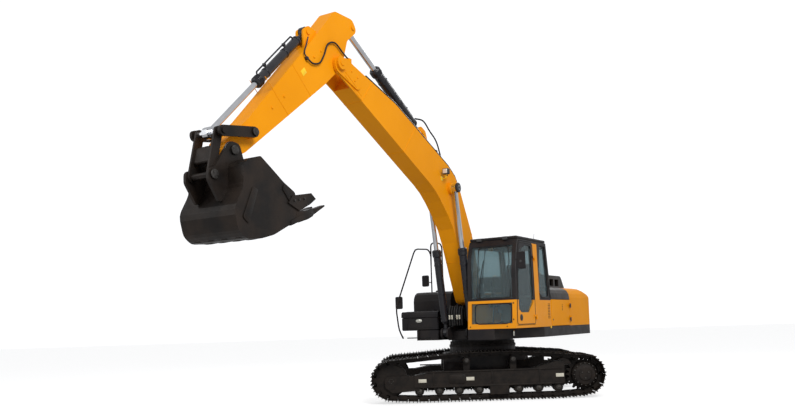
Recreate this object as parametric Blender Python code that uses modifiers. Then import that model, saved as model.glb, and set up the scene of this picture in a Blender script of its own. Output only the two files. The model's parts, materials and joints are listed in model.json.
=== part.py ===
"""Crawler excavator, about 22 t, with a single-piece boom, an arm and a digging bucket.

Metres, +Z up. Two frames are used. The undercarriage is drawn in a frame that looks along its
tracks, and everything that slews is drawn in the upper frame: x forwards, y to the operator's
left, z up from the ground, with the slew axis at x = y = 0. Each moving piece hangs on an empty
that stands on its joint's axis.
"""

import math

import bmesh
import bpy
from mathutils import Matrix, Vector

# Fits
GAP = 0.0003  # between solids that touch
PIN_PLAY = 0.0015  # a pin's hole is this much larger in radius
HOLE_SIDES = 16
BORE_PLAY = 0.003  # a barrel's bore, round its rod
DOOR_GAP = 0.008  # around doors, lids and hoods
MOVE_GAP = 0.012  # between parts that swing past each other
CUT_MARGIN = 0.05  # a cutter runs this far past what it cuts
MERGE = 0.000002  # points nearer than this are one

# Place of the machine: the slew axis, measured from the middle of the object's box
SLEW_AXIS_X = 0.8635
SLEW_AXIS_Y = 1.7943
SLEW_ANGLE = math.radians(58.55)  # the upper structure, turned from straight ahead

# Undercarriage
IDLER_X = 1.85
SPROCKET_X = -1.80
AXLE_Z = 0.43
TRACK_GAUGE = 2.34
SHOE_WIDTH = 0.60
SHOE_COUNT = 49
GROUSER_HEIGHT = 0.030
SHOE_THICKNESS = 0.013
LINK_HEIGHT = 0.072
SHOE_OVERLAP = 0.006  # the shoes reach this far down the rails
RAIL_INNER = 0.055
RAIL_WIDTH = 0.045
WHEEL_RADIUS = 0.285
WHEEL_SIDES = 24
BARREL_SIDES = 16
ROLLER_SIDES = 12
FLANGE_HALF = 0.042
FORK_INNER = 0.118
FORK_THICKNESS = 0.035
SPROCKET_HALF = 0.032
HUB_RADIUS = 0.060
FLANGE_HEIGHT = 0.030
TOOTH_HEIGHT = 0.045
TOOTH_COUNT = 21
ROLLER_RADIUS = 0.088
ROLLER_COUNT = 8
ROLLER_FIRST_X = 1.32
ROLLER_PITCH = 0.375
CARRIER_RADIUS = 0.065
CARRIER_Z = 0.76
CARRIER_XS = (0.417, -0.470)
FRAME_HALF_WIDTH = 0.17
FRAME_BOTTOM = 0.28
FRAME_TOP = 0.56
BELLY_HEIGHT = 0.50
PEDESTAL_TOP = 0.98
RING_RADIUS = 0.66
RING_BORE = 0.46
RING_TOP = 1.09

# Upper structure
DECK_BOTTOM = 1.136
DECK_TOP = 1.336
SIDE_Y = 1.378
TAIL_X = -2.90
TAIL_CORNER_X = -2.785
COUNTERWEIGHT_FRONT = -1.46
COUNTERWEIGHT_DEPTH = 0.75
COUNTERWEIGHT_TOP = 2.145
SHOULDER_BOTTOM = 1.885
SHOULDER_ROUND = 0.22
PANEL = 0.045
HINGE_RADIUS = 0.013
HINGE_OUT = 0.022  # a door hinge's axis, outside the side
DOOR_PROUD = 0.004  # doors stand this far out of the side
LID_DEPTH = 0.12
LID_WALL = 0.026
CAB_FRONT = 1.34
CAB_REAR = -0.40
CAB_RIGHT_Y = 0.385
CAB_WALL = 0.055
CAB_WALL_TOP = 3.0
ROOF_THICKNESS = 0.06
WAIST_Z = 1.86
FRONT_DEPTH = 0.065
GLASS = 0.006
GLASS_SIDE = 0.075
UPPER_GLASS = (1.90, 2.885)
LOWER_GLASS = (1.43, 1.81)
REAR_GLASS = (2.00, 2.88)
CAB_HINGE_X = 0.40
DOOR_REAR_X = 0.43
DOOR_LOW = DECK_TOP + 0.055
DOOR_HIGH = 2.965
SEAT_Z = DECK_TOP + 0.46
SEAT_REAR = 0.06
CUSHION_DEPTH = 0.13
TANK_FRONT = 0.44
TANK_SPLIT = -0.30
TANK_REAR = -0.98
TANK_TOP = 2.13
TANK_LEFT_Y = -0.47
TOOL_BOX_FRONT = 0.98
TOOL_BOX_TOP = 1.72
HOOD_TOP = 2.43
RAIL_RADIUS = 0.017

# Front attachment: pin centres in the side view, as (x, z)
BOOM_FOOT = (0.42, 1.95)
BOOM_TIP = (4.90, 5.53)
BOOM_CYLINDER_FOOT = (0.98, 1.28)
BOOM_CYLINDER_EYE = (1.48, 4.03)
ARM_CYLINDER_FOOT = (2.266, 4.982)
ARM_CYLINDER_EYE = (4.47, 6.24)
BUCKET_CYLINDER_FOOT = (5.52, 5.86)
GUIDE_PIN = (6.883, 4.05)
LINK_PIN = (7.437, 3.963)
BUCKET_PIN = (7.216, 3.756)
BUCKET_LINK_PIN = (7.567, 3.397)

BOOM_HALF_WIDTH = 0.175
ARM_HALF_WIDTH = 0.14
BRACKET_INNER = 0.195
BRACKET_THICKNESS = 0.035
CYLINDER_Y = 0.285
EYE_HALF_WIDTH = 0.045
BOOM_BARREL_RADIUS = 0.075
BOOM_BARREL_LENGTH = 1.646
BOOM_ROD_RADIUS = 0.045
BOOM_ROD_LENGTH = 1.575
ARM_BARREL_RADIUS = 0.082
ARM_BARREL_LENGTH = 1.640
ARM_ROD_RADIUS = 0.050
ARM_ROD_LENGTH = 1.855
ARM_EYE_HALF = 0.056
BUCKET_BARREL_RADIUS = 0.066
BUCKET_BARREL_LENGTH = 1.480
BUCKET_ROD_RADIUS = 0.040
BUCKET_ROD_LENGTH = 1.49
NECK_END = 0.17  # a barrel is thin between its lugs, this far from its pin
BARREL_START = 0.23
CLOSED_END = 0.235  # the bore stops this far past the barrel's pin
PIN_RADIUS = 0.045
SMALL_PIN_RADIUS = 0.040
TIP_EAR_THICKNESS = 0.045
GUIDE_INNER = 0.228
GUIDE_THICKNESS = 0.038
LINK_INNER = 0.148
LINK_THICKNESS = 0.030
BUCKET_EAR_INNER = LINK_INNER + LINK_THICKNESS + GAP
BUCKET_EAR_THICKNESS = 0.040
BUCKET_HALF_WIDTH = 0.483
BUCKET_PLATE = 0.030
TOOTH_WIDTH = 0.085
BUCKET_TOOTH_COUNT = 5
PIPE_RADIUS = 0.014
PIPE_HEIGHT = 0.034  # the pipes' middle, above the boom's back
PIPE_YS = (-0.150, -0.115, 0.115, 0.150)
PIPE_START_X = 0.90
PIPE_END_X = 4.15
CLAMPS = 3  # one on each of the longest straight runs
CLAMP_SHARE = 0.25
CLAMP_LENGTH = 0.05

FINISHES = {
    "yellow_paint": ((0.90, 0.42, 0.02), 0.38, 0.0),
    "dark_paint": ((0.035, 0.032, 0.032), 0.45, 0.0),
    "track_steel": ((0.045, 0.038, 0.033), 0.60, 0.6),
    "chrome": ((0.75, 0.76, 0.78), 0.12, 1.0),
    "glass": ((0.12, 0.20, 0.20), 0.05, 0.0),
    "fabric": ((0.05, 0.05, 0.055), 0.90, 0.0),
    "plastic": ((0.06, 0.06, 0.065), 0.55, 0.0),
}


# ---------------------------------------------------------------- scene and helpers
def clear_scene():
    for obj in list(bpy.data.objects):
        bpy.data.objects.remove(obj, do_unlink=True)


def new_collection(name):
    collection = bpy.data.collections.new(name)
    bpy.context.scene.collection.children.link(collection)
    return collection


clear_scene()
EXCAVATOR = new_collection("crawler_excavator")


def object_from(bm, name="piece"):
    """A mesh object that holds what is in bm."""
    bmesh.ops.recalc_face_normals(bm, faces=bm.faces[:])
    mesh = bpy.data.meshes.new(name)
    bm.to_mesh(mesh)
    bm.free()
    obj = bpy.data.objects.new(name, mesh)
    EXCAVATOR.objects.link(obj)
    return obj


def applied(obj):
    """The object with its modifiers, or its curve, made into a plain closed mesh."""
    bpy.context.view_layer.update()
    graph = bpy.context.evaluated_depsgraph_get()
    mesh = bpy.data.meshes.new_from_object(obj.evaluated_get(graph))
    mesh.transform(obj.matrix_world)
    bm = bmesh.new()
    bm.from_mesh(mesh)
    bmesh.ops.remove_doubles(bm, verts=bm.verts[:], dist=MERGE)
    bpy.data.meshes.remove(mesh)
    name = obj.name
    bpy.data.objects.remove(obj, do_unlink=True)
    return object_from(bm, name)


def boolean(base, others, operation):
    """Joins the others to the base, or cuts them from it, and removes them."""
    for other in others:
        modifier = base.modifiers.new(operation.lower(), "BOOLEAN")
        modifier.operation = operation
        modifier.solver = "EXACT"
        modifier.object = other
    result = applied(base)
    for other in others:
        bpy.data.objects.remove(other, do_unlink=True)
    return result


def joined(base, *others):
    return boolean(base, others, "UNION")


def cut(base, *others):
    return boolean(base, others, "DIFFERENCE")


def box(low, high, bevel=0.0, segments=1):
    """An upright box between two corners, with all its edges bevelled."""
    low, high = Vector(low), Vector(high)
    bm = bmesh.new()
    bmesh.ops.create_cube(bm, size=1.0)
    bmesh.ops.scale(bm, vec=high - low, verts=bm.verts[:])
    bmesh.ops.translate(bm, vec=(low + high) / 2, verts=bm.verts[:])
    if bevel:
        bmesh.ops.bevel(
            bm, geom=bm.edges[:], offset=bevel, segments=segments, profile=0.5, affect="EDGES"
        )
    return object_from(bm)


def cylinder(start, end, radius, sides=12, end_radius=None):
    """A cylinder or cone between two points."""
    start, end = Vector(start), Vector(end)
    axis = end - start
    bm = bmesh.new()
    bmesh.ops.create_cone(
        bm,
        cap_ends=True,
        segments=sides,
        radius1=radius,
        radius2=radius if end_radius is None else end_radius,
        depth=axis.length,
    )
    turn = axis.to_track_quat("Z", "Y").to_matrix().to_4x4()
    bmesh.ops.transform(bm, matrix=Matrix.Translation((start + end) / 2) @ turn, verts=bm.verts[:])
    return object_from(bm)


def cross_pin(centre, low_y, high_y, radius, sides=12):
    """A cylinder across the machine, through a point of the side view."""
    x, z = centre
    return cylinder((x, low_y, z), (x, high_y, z), radius, sides)


def rounded(corners):
    """Corner points as (a, b) or (a, b, radius), with each radius drawn as a short arc."""
    points = []
    count = len(corners)
    for index, corner in enumerate(corners):
        here = Vector(corner[:2])
        radius = corner[2] if len(corner) > 2 else 0.0
        before = Vector(corners[index - 1][:2]) - here
        after = Vector(corners[(index + 1) % count][:2]) - here
        bend = math.pi - before.angle(after)
        if not radius or bend < 0.02:
            points.append(here)
            continue
        half = (math.pi - bend) / 2
        reach = min(radius / math.tan(half), 0.49 * before.length, 0.49 * after.length)
        first = here + before.normalized() * reach
        last = here + after.normalized() * reach
        steps = max(2, round(bend / math.radians(24)))
        fillet = reach * math.tan(half)
        middle = here + (before.normalized() + after.normalized()).normalized() * math.hypot(fillet, reach)
        start = first - middle
        turn = start.angle_signed(last - middle)
        for step in range(steps + 1):
            angle = -turn * step / steps
            points.append(
                middle
                + Vector(
                    (
                        start.x * math.cos(angle) - start.y * math.sin(angle),
                        start.x * math.sin(angle) + start.y * math.cos(angle),
                    )
                )
            )
    return points


def shrunk(points, distance):
    """A closed outline moved inwards by a distance."""
    points = [Vector(point[:2]) for point in points]
    area = sum(a.x * b.y - b.x * a.y for a, b in zip(points, points[1:] + points[:1]))
    sign = 1.0 if area > 0 else -1.0
    result = []
    for index, here in enumerate(points):
        ahead = (points[(index + 1) % len(points)] - here).normalized()
        behind = (here - points[index - 1]).normalized()
        normal = Vector((-(ahead.y + behind.y), ahead.x + behind.x)) * sign
        length = normal.length
        scale = 2.0 / length if length > 0.2 else 1.0
        result.append(here + normal.normalized() * distance * scale)
    return result


PLANES = {
    "side": Matrix(((1, 0, 0), (0, 0, -1), (0, 1, 0))),
    "plan": Matrix(((1, 0, 0), (0, 1, 0), (0, 0, 1))),
    "front": Matrix(((0, 0, 1), (1, 0, 0), (0, 1, 0))),
}


def slab(outline, low, high, view):
    """A flat outline given a thickness from low to high across its plane."""
    bm = bmesh.new()
    face = bm.faces.new([bm.verts.new((point[0], point[1], low)) for point in outline])
    raised = bmesh.ops.extrude_face_region(bm, geom=[face])["geom"]
    tops = [item for item in raised if isinstance(item, bmesh.types.BMVert)]
    bmesh.ops.translate(bm, vec=(0, 0, high - low), verts=tops)
    bmesh.ops.transform(bm, matrix=PLANES[view].to_4x4(), verts=bm.verts[:])
    return object_from(bm)


def plate(outline, low, high, view="side", holes=()):
    """An outline of one plane with a thickness from low to high across it, and holes through it."""
    if view == "side":
        low, high = -high, -low
    solid = slab(outline, low, high, view)
    if not holes:
        return solid
    return cut(solid, *[slab(hole, low - CUT_MARGIN, high + CUT_MARGIN, view) for hole in holes])


def side_plate(outline, inner, thickness, side, holes=()):
    """A plate of the side view that stands between two distances from the middle plane."""
    near, far = side * inner, side * (inner + thickness)
    return plate(outline, min(near, far), max(near, far), "side", holes)


def circle(centre, radius, sides=16):
    return [
        (
            centre[0] + radius * math.cos(2 * math.pi * step / sides),
            centre[1] + radius * math.sin(2 * math.pi * step / sides),
        )
        for step in range(sides)
    ]


def turned(profile, base, axis, steps=24, ring=False):
    """A profile of (radius, height) turned about an axis that starts at base."""
    bm = bmesh.new()
    verts = [bm.verts.new((radius, 0.0, height)) for radius, height in profile]
    for first, second in zip(verts, verts[1:]):
        bm.edges.new((first, second))
    if ring:
        bm.edges.new((verts[-1], verts[0]))
    mesh = bpy.data.meshes.new("profile")
    bm.to_mesh(mesh)
    bm.free()
    obj = bpy.data.objects.new("turned", mesh)
    EXCAVATOR.objects.link(obj)
    screw = obj.modifiers.new("turn", "SCREW")
    screw.axis = "Z"
    screw.steps = steps
    screw.render_steps = steps
    screw.use_merge_vertices = True
    screw.merge_threshold = 0.0001
    obj.matrix_world = Matrix.Translation(base) @ Vector(axis).to_track_quat("Z", "Y").to_matrix().to_4x4()
    return applied(obj)


def smooth_route(points, per_span=6):
    """Points along a smooth curve through the given ones."""
    points = [Vector(point) for point in points]
    ends = [2 * points[0] - points[1], *points, 2 * points[-1] - points[-2]]
    route = []
    for index in range(1, len(ends) - 2):
        a, b, c, d = ends[index - 1 : index + 3]
        for step in range(per_span):
            t = step / per_span
            route.append(
                0.5
                * (
                    2 * b
                    + (c - a) * t
                    + (2 * a - 5 * b + 4 * c - d) * t * t
                    + (3 * b - a - 3 * c + d) * t ** 3
                )
            )
    route.append(points[-1])
    return route


def tube(points, radius, resolution=2):
    """A round bar or hose along a line of points."""
    curve = bpy.data.curves.new("route", "CURVE")
    curve.dimensions = "3D"
    curve.bevel_depth = radius
    curve.bevel_resolution = resolution
    curve.use_fill_caps = True
    spline = curve.splines.new("POLY")
    spline.points.add(len(points) - 1)
    for point, place in zip(spline.points, points):
        point.co = (*place, 1.0)
    obj = bpy.data.objects.new("tube", curve)
    EXCAVATOR.objects.link(obj)
    return applied(obj)


def bent_bar(corners, radius, bend=0.10, resolution=2):
    """A bar with straight runs and rounded bends."""
    points = [Vector(corners[0])]
    for before, here, after in zip(corners, corners[1:], corners[2:]):
        before, here, after = Vector(before), Vector(here), Vector(after)
        back = (before - here).normalized()
        on = (after - here).normalized()
        reach = min(bend, 0.45 * (before - here).length, 0.45 * (after - here).length)
        for step in range(3):
            t = step / 2
            points.append(
                (1 - t) ** 2 * (here + back * reach) + 2 * t * (1 - t) * here + t * t * (here + on * reach)
            )
    points.append(Vector(corners[-1]))
    return tube(points, radius, resolution)


def empty(name, location, parent=None, turn=0.0):
    """An empty on a joint's axis. Its place is in its parent's machine frame."""
    obj = bpy.data.objects.new(name, None)
    EXCAVATOR.objects.link(obj)
    obj.parent = parent
    base = Vector(parent["pivot"]) if parent and "pivot" in parent else Vector((0, 0, 0))
    obj.location = Vector(location) - base
    obj.rotation_euler = (0, 0, turn)
    obj["pivot"] = tuple(location) if turn == 0.0 else (0.0, 0.0, location[2])
    return obj


def node(obj, name, finish, body):
    """Names a piece, gives it its own material and hangs it on its body's empty."""
    obj.name = name
    obj.data.name = name
    colour, roughness, metallic = FINISHES[finish]
    material = bpy.data.materials.new(f"{name}_{finish}")
    material.use_nodes = True
    shader = material.node_tree.nodes["Principled BSDF"]
    shader.inputs["Base Color"].default_value = (*colour, 1.0)
    shader.inputs["Roughness"].default_value = roughness
    shader.inputs["Metallic"].default_value = metallic
    obj.data.materials.append(material)
    obj.data.shade_smooth()
    obj.data.set_sharp_from_angle(angle=math.radians(35))
    obj.data.transform(Matrix.Translation(-Vector(body["pivot"])))
    obj.parent = body
    return obj


def at(point, y=0.0):
    """A point of the side view, as a place in the upper frame."""
    return Vector((point[0], y, point[1]))


# ---------------------------------------------------------------- bodies
MACHINE = empty("machine", (SLEW_AXIS_X, SLEW_AXIS_Y, 0.0))
MACHINE["pivot"] = (0.0, 0.0, 0.0)
UNDERCARRIAGE = empty("undercarriage", (0.0, 0.0, 0.0), MACHINE, math.pi)
UNDERCARRIAGE["pivot"] = (0.0, 0.0, 0.0)
UPPER = empty("upper_structure", (0.0, 0.0, RING_TOP), MACHINE, math.pi + SLEW_ANGLE)
DOOR_HINGE_Y = SIDE_Y + HINGE_OUT
HOOD_HINGE = (-0.50, COUNTERWEIGHT_TOP + 0.05)
LID_REAR = TANK_FRONT + 0.05
LID_HINGE = (LID_REAR, TOOL_BOX_TOP + 0.016)

CAB_DOOR = empty("cab_door_hinge", (CAB_HINGE_X, DOOR_HINGE_Y, DECK_TOP), UPPER)
LEFT_DOOR = empty("left_side_door_hinge", (COUNTERWEIGHT_FRONT, DOOR_HINGE_Y, DECK_TOP), UPPER)
RIGHT_DOOR = empty("right_side_door_hinge", (COUNTERWEIGHT_FRONT, -DOOR_HINGE_Y, DECK_TOP), UPPER)
HOOD = empty("engine_hood_hinge", (HOOD_HINGE[0], 0.0, HOOD_HINGE[1]), UPPER)
LID = empty("tool_box_lid_hinge", (LID_HINGE[0], 0.0, LID_HINGE[1]), UPPER)
BOOM = empty("boom_pivot", at(BOOM_FOOT), UPPER)
ARM = empty("arm_pivot", at(BOOM_TIP), BOOM)
BUCKET = empty("bucket_pivot", at(BUCKET_PIN), ARM)
GUIDES = empty("guide_link_pivot", at(GUIDE_PIN), ARM)
BUCKET_LINK = empty("bucket_link_pivot", at(BUCKET_LINK_PIN), BUCKET)
BOOM_BARRELS = empty("boom_cylinder_pivot", at(BOOM_CYLINDER_FOOT), UPPER)
BOOM_RODS = empty("boom_rod_slide", at(BOOM_CYLINDER_EYE), BOOM_BARRELS)
ARM_BARREL = empty("arm_cylinder_pivot", at(ARM_CYLINDER_FOOT), BOOM)
ARM_ROD = empty("arm_rod_slide", at(ARM_CYLINDER_EYE), ARM_BARREL)
BUCKET_BARREL = empty("bucket_cylinder_pivot", at(BUCKET_CYLINDER_FOOT), ARM)
BUCKET_ROD = empty("bucket_rod_slide", at(LINK_PIN), BUCKET_BARREL)


# ---------------------------------------------------------------- undercarriage
CHAIN_DEPTH = LINK_HEIGHT + SHOE_THICKNESS + GROUSER_HEIGHT
ROLLER_XS = [ROLLER_FIRST_X - index * ROLLER_PITCH for index in range(ROLLER_COUNT)]
ROLLER_Z = CHAIN_DEPTH + ROLLER_RADIUS


def track_wheels():
    """Centre, radius and number of sides of each wheel that the chain runs round."""
    ends = [((x, AXLE_Z), WHEEL_RADIUS, WHEEL_SIDES) for x in (IDLER_X, SPROCKET_X)]
    carriers = [((x, CARRIER_Z), CARRIER_RADIUS, ROLLER_SIDES) for x in CARRIER_XS]
    rollers = [((x, ROLLER_Z), ROLLER_RADIUS, ROLLER_SIDES) for x in (ROLLER_XS[0], ROLLER_XS[-1])]
    return ends + carriers + rollers


def hull(points):
    """The convex outline of a set of points, anticlockwise."""
    points = sorted({(round(x, 7), round(z, 7)) for x, z in points})

    def half(run):
        chain = []
        for point in run:
            while len(chain) > 1:
                (ax, az), (bx, bz) = chain[-2:]
                if (bx - ax) * (point[1] - az) - (bz - az) * (point[0] - ax) > 1e-9:
                    break
                chain.pop()
            chain.append(point)
        return chain[:-1]

    return half(points) + half(reversed(points))


def chain_line(offset):
    """The closed line that runs at one distance outside the wheels."""
    points = []
    for centre, radius, sides in track_wheels():
        points += circle(centre, radius + offset, sides)
    return hull(points)


def even_steps(line, count):
    """Evenly spaced points along a closed line."""
    line = [Vector(point) for point in line]
    spans = [(a, b, (b - a).length) for a, b in zip(line, line[1:] + line[:1])]
    step = sum(length for _, _, length in spans) / count
    points, travelled, wanted = [], 0.0, 0.0
    for a, b, length in spans:
        while wanted < travelled + length and len(points) < count:
            points.append(a.lerp(b, (wanted - travelled) / length))
            wanted += step
        travelled += length
    return points


def shoe_outline():
    """The outside of all the shoes: a flat plate with one grouser for each."""
    base = LINK_HEIGHT + SHOE_THICKNESS
    pins = even_steps(chain_line(base), SHOE_COUNT)
    outline = []
    for here, after in zip(pins, pins[1:] + pins[:1]):
        along = (after - here).normalized()
        out = Vector((along.y, -along.x))
        pitch = (after - here).length
        for share, height in ((0.06, 0.0), (0.20, GROUSER_HEIGHT), (0.34, 0.0)):
            outline.append(here + along * pitch * share + out * height)
    return outline


def track(side):
    """The whole chain as one loop: shoes across it, and a link rail at each side of its middle."""
    middle = side * TRACK_GAUGE / 2
    shoes = plate(
        shoe_outline(),
        middle - SHOE_WIDTH / 2,
        middle + SHOE_WIDTH / 2,
        holes=[chain_line(LINK_HEIGHT - 2 * SHOE_OVERLAP)],
    )
    inner_line = chain_line(GAP)
    outer_line = chain_line(LINK_HEIGHT - SHOE_OVERLAP)
    rails = [
        plate(outer_line, middle + low, middle + low + RAIL_WIDTH, holes=[inner_line])
        for low in (RAIL_INNER, -RAIL_INNER - RAIL_WIDTH)
    ]
    return joined(shoes, *rails)


def wheel_profile(half_width):
    """Half flange, rim and hub of an idler, as radius and height from one face to the other."""
    return [
        (0.0, -FORK_INNER + GAP),
        (HUB_RADIUS, -FORK_INNER + GAP),
        (HUB_RADIUS, -half_width),
        (WHEEL_RADIUS, -half_width),
        (WHEEL_RADIUS, -FLANGE_HALF),
        (WHEEL_RADIUS + FLANGE_HEIGHT, -FLANGE_HALF + 0.006),
        (WHEEL_RADIUS + FLANGE_HEIGHT, FLANGE_HALF - 0.006),
        (WHEEL_RADIUS, FLANGE_HALF),
        (WHEEL_RADIUS, half_width),
        (HUB_RADIUS, half_width),
        (HUB_RADIUS, FORK_INNER - GAP),
        (0.0, FORK_INNER - GAP),
    ]


def idler(side):
    middle = Vector((IDLER_X, side * TRACK_GAUGE / 2, AXLE_Z))
    return turned(wheel_profile(RAIL_INNER + RAIL_WIDTH), middle, (0, 1, 0), WHEEL_SIDES)


def sprocket(side):
    """The toothed ring and, outside it, the round cover of the final drive that turns with it."""
    middle = side * TRACK_GAUGE / 2
    centre = Vector((SPROCKET_X, AXLE_Z))
    outline = []
    for tooth in range(TOOTH_COUNT):
        for share, radius in (
            (-0.36, WHEEL_RADIUS - 0.012),
            (-0.12, WHEEL_RADIUS + TOOTH_HEIGHT),
            (0.12, WHEEL_RADIUS + TOOTH_HEIGHT),
            (0.36, WHEEL_RADIUS - 0.012),
        ):
            angle = 2 * math.pi * (tooth + share) / TOOTH_COUNT
            outline.append(centre + radius * Vector((math.cos(angle), math.sin(angle))))
    ring = plate(outline, middle - SPROCKET_HALF, middle + SPROCKET_HALF)
    cover = turned(
        [(0.0, 0.24), (0.11, 0.24), (0.13, 0.225), (0.19, 0.215), (0.235, 0.17), (0.245, 0.0), (0.0, 0.0)],
        (SPROCKET_X, middle, AXLE_Z),
        (0, side, 0),
    )
    return joined(ring, cover)


def track_frame(side):
    """The beam between the wheels, with its rollers, the idler's fork and the drive's case."""
    middle = side * TRACK_GAUGE / 2

    def across(low, high):
        return sorted((middle + side * low, middle + side * high))

    def block(x_low, x_high, y_low, y_high, z_low, z_high, bevel=0.0):
        near, far = across(y_low, y_high)
        return box((x_low, near, z_low), (x_high, far, z_high), bevel)

    beam_front = IDLER_X - WHEEL_RADIUS - 0.15
    beam_rear = SPROCKET_X + WHEEL_RADIUS + TOOTH_HEIGHT + 0.05
    beam = plate(
        rounded(
            [
                (beam_front, FRAME_BOTTOM),
                (beam_front, FRAME_TOP - 0.06, 0.03),
                (beam_front - 0.35, FRAME_TOP, 0.1),
                (beam_rear + 0.62, FRAME_TOP, 0.1),
                (beam_rear + 0.16, FRAME_TOP + 0.13, 0.03),
                (beam_rear, FRAME_TOP + 0.13, 0.02),
                (beam_rear, FRAME_BOTTOM),
            ]
        ),
        middle - FRAME_HALF_WIDTH,
        middle + FRAME_HALF_WIDTH,
    )
    fork_outline = rounded(
        [
            (beam_front - 0.10, FRAME_BOTTOM - 0.06),
            (IDLER_X - 0.02, FRAME_BOTTOM - 0.09, 0.05),
            (IDLER_X + 0.12, FRAME_BOTTOM + 0.02, 0.08),
            (IDLER_X + 0.12, AXLE_Z + 0.03, 0.05),
            (IDLER_X + 0.04, AXLE_Z + 0.07, 0.04),
            (beam_front - 0.10, AXLE_Z + 0.07),
        ]
    )
    extras = []
    for low in (FORK_INNER, -FORK_INNER - FORK_THICKNESS):
        extras.append(plate(fork_outline, middle + low, middle + low + FORK_THICKNESS))
    drive_inner = -FRAME_HALF_WIDTH - 0.12
    extras.append(
        cylinder(
            (SPROCKET_X, middle + side * drive_inner, AXLE_Z),
            (SPROCKET_X, middle - side * (SPROCKET_HALF + GAP), AXLE_Z),
            0.20,
            24,
        )
    )
    arm_low, arm_high = across(-FRAME_HALF_WIDTH, -0.09)
    extras.append(
        plate(
            [
                (beam_rear + 0.1, FRAME_BOTTOM + 0.02),
                (SPROCKET_X, AXLE_Z - 0.14),
                (SPROCKET_X, AXLE_Z + 0.14),
                (beam_rear + 0.1, FRAME_TOP + 0.05),
            ],
            arm_low,
            arm_high,
        )
    )
    for x in CARRIER_XS:
        extras.append(block(x - 0.06, x + 0.06, -0.045, 0.045, FRAME_TOP - 0.02, CARRIER_Z, 0.0))
        half = RAIL_INNER + RAIL_WIDTH + 0.012
        extras.append(cross_pin((x, CARRIER_Z), middle - half, middle + half, CARRIER_RADIUS, ROLLER_SIDES))
    for x in ROLLER_XS:
        half = RAIL_INNER + RAIL_WIDTH + 0.02
        extras.append(cross_pin((x, ROLLER_Z), middle - half, middle + half, ROLLER_RADIUS, ROLLER_SIDES))
    extras.append(block(ROLLER_XS[4] - 0.19, ROLLER_XS[4] + 0.18, 0.15, 0.185, 0.10, 0.32, 0.01))
    return joined(beam, *extras)


def lower_frame():
    """The middle of the undercarriage: a box, four legs to the track frames and the ring's seat."""
    reach = TRACK_GAUGE / 2 - FRAME_HALF_WIDTH - GAP
    body = box((-0.80, -0.72, BELLY_HEIGHT), (0.80, 0.72, BELLY_HEIGHT + 0.36), 0.03)
    legs = [
        plate(
            [
                (side * 0.5, BELLY_HEIGHT + 0.34),
                (side * 0.5, BELLY_HEIGHT + 0.02),
                (side * reach, FRAME_BOTTOM + 0.10),
                (side * reach, FRAME_TOP - 0.02),
            ],
            low,
            low + 0.42,
            "front",
        )
        for side in (1, -1)
        for low in (0.42, -0.84)
    ]
    seat = cylinder((0, 0, BELLY_HEIGHT + 0.30), (0, 0, PEDESTAL_TOP - GAP), RING_RADIUS + 0.01, 32)
    swivel = cylinder((0, 0, BELLY_HEIGHT + 0.25), (0, 0, RING_TOP - 0.05), 0.12, 16)
    return joined(body, *legs, seat, swivel)


def slew_ring():
    profile = [
        (RING_RADIUS, RING_TOP - GAP),
        (RING_RADIUS, PEDESTAL_TOP + 0.05),
        (RING_RADIUS + 0.02, PEDESTAL_TOP + 0.045),
        (RING_RADIUS + 0.02, PEDESTAL_TOP),
        (RING_BORE, PEDESTAL_TOP),
        (RING_BORE, RING_TOP - GAP),
    ]
    return turned(profile, (0, 0, 0), (0, 0, 1), 32, ring=True)


def build_undercarriage():
    node(lower_frame(), "lower_frame", "dark_paint", UNDERCARRIAGE)
    node(slew_ring(), "slew_ring", "track_steel", UNDERCARRIAGE)
    for side, word in ((1, "left"), (-1, "right")):
        node(track_frame(side), f"{word}_track_frame", "dark_paint", UNDERCARRIAGE)
        node(track(side), f"{word}_track", "track_steel", UNDERCARRIAGE)
        node(idler(side), f"{word}_idler", "track_steel", UNDERCARRIAGE)
        node(sprocket(side), f"{word}_sprocket", "dark_paint", UNDERCARRIAGE)


# ---------------------------------------------------------------- upper structure
def hinge_pair(x, side, low_z, high_z, moving_reach):
    """A fixed knuckle under a moving one, on one upright axis at the machine's side.

    The fixed one's strap goes back into the side. The moving one's runs forwards outside it.
    """
    y = side * (SIDE_Y + HINGE_OUT)
    middle = (low_z + high_z) / 2
    fixed = cylinder((x, y, low_z), (x, y, middle), HINGE_RADIUS, 12)
    moving = cylinder((x, y, middle + GAP), (x, y, high_z), HINGE_RADIUS, 12)
    inset = HINGE_RADIUS * 0.25
    sunk, over = sorted((side * (SIDE_Y - 0.01), y)), sorted((side * (SIDE_Y + DOOR_PROUD * 0.6), y))
    fixed_strap = box((x - 0.03, sunk[0], low_z + inset), (x - inset, sunk[1], middle - inset))
    moving_strap = box((x + inset, over[0], middle + inset), (x + moving_reach, over[1], high_z - inset))
    return joined(fixed, fixed_strap), joined(moving, moving_strap)


def tail_plan(front, right, left, inset=0.0):
    """The plan of the tail: an arc across the rear with a rounded corner at each side."""
    side = SIDE_Y - inset
    corner = TAIL_CORNER_X + inset
    middle = TAIL_X + inset
    return rounded(
        [
            (front, left * side),
            (corner + 0.02, left * side, 0.14),
            (corner - 0.02, left * (side - 0.16), 0.10),
            (middle, left * 0.55, 0.8),
            (middle, right * -0.55, 0.8),
            (corner - 0.02, right * -(side - 0.16), 0.10),
            (corner + 0.02, right * -side, 0.14),
            (front, right * -side),
        ]
    )


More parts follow.
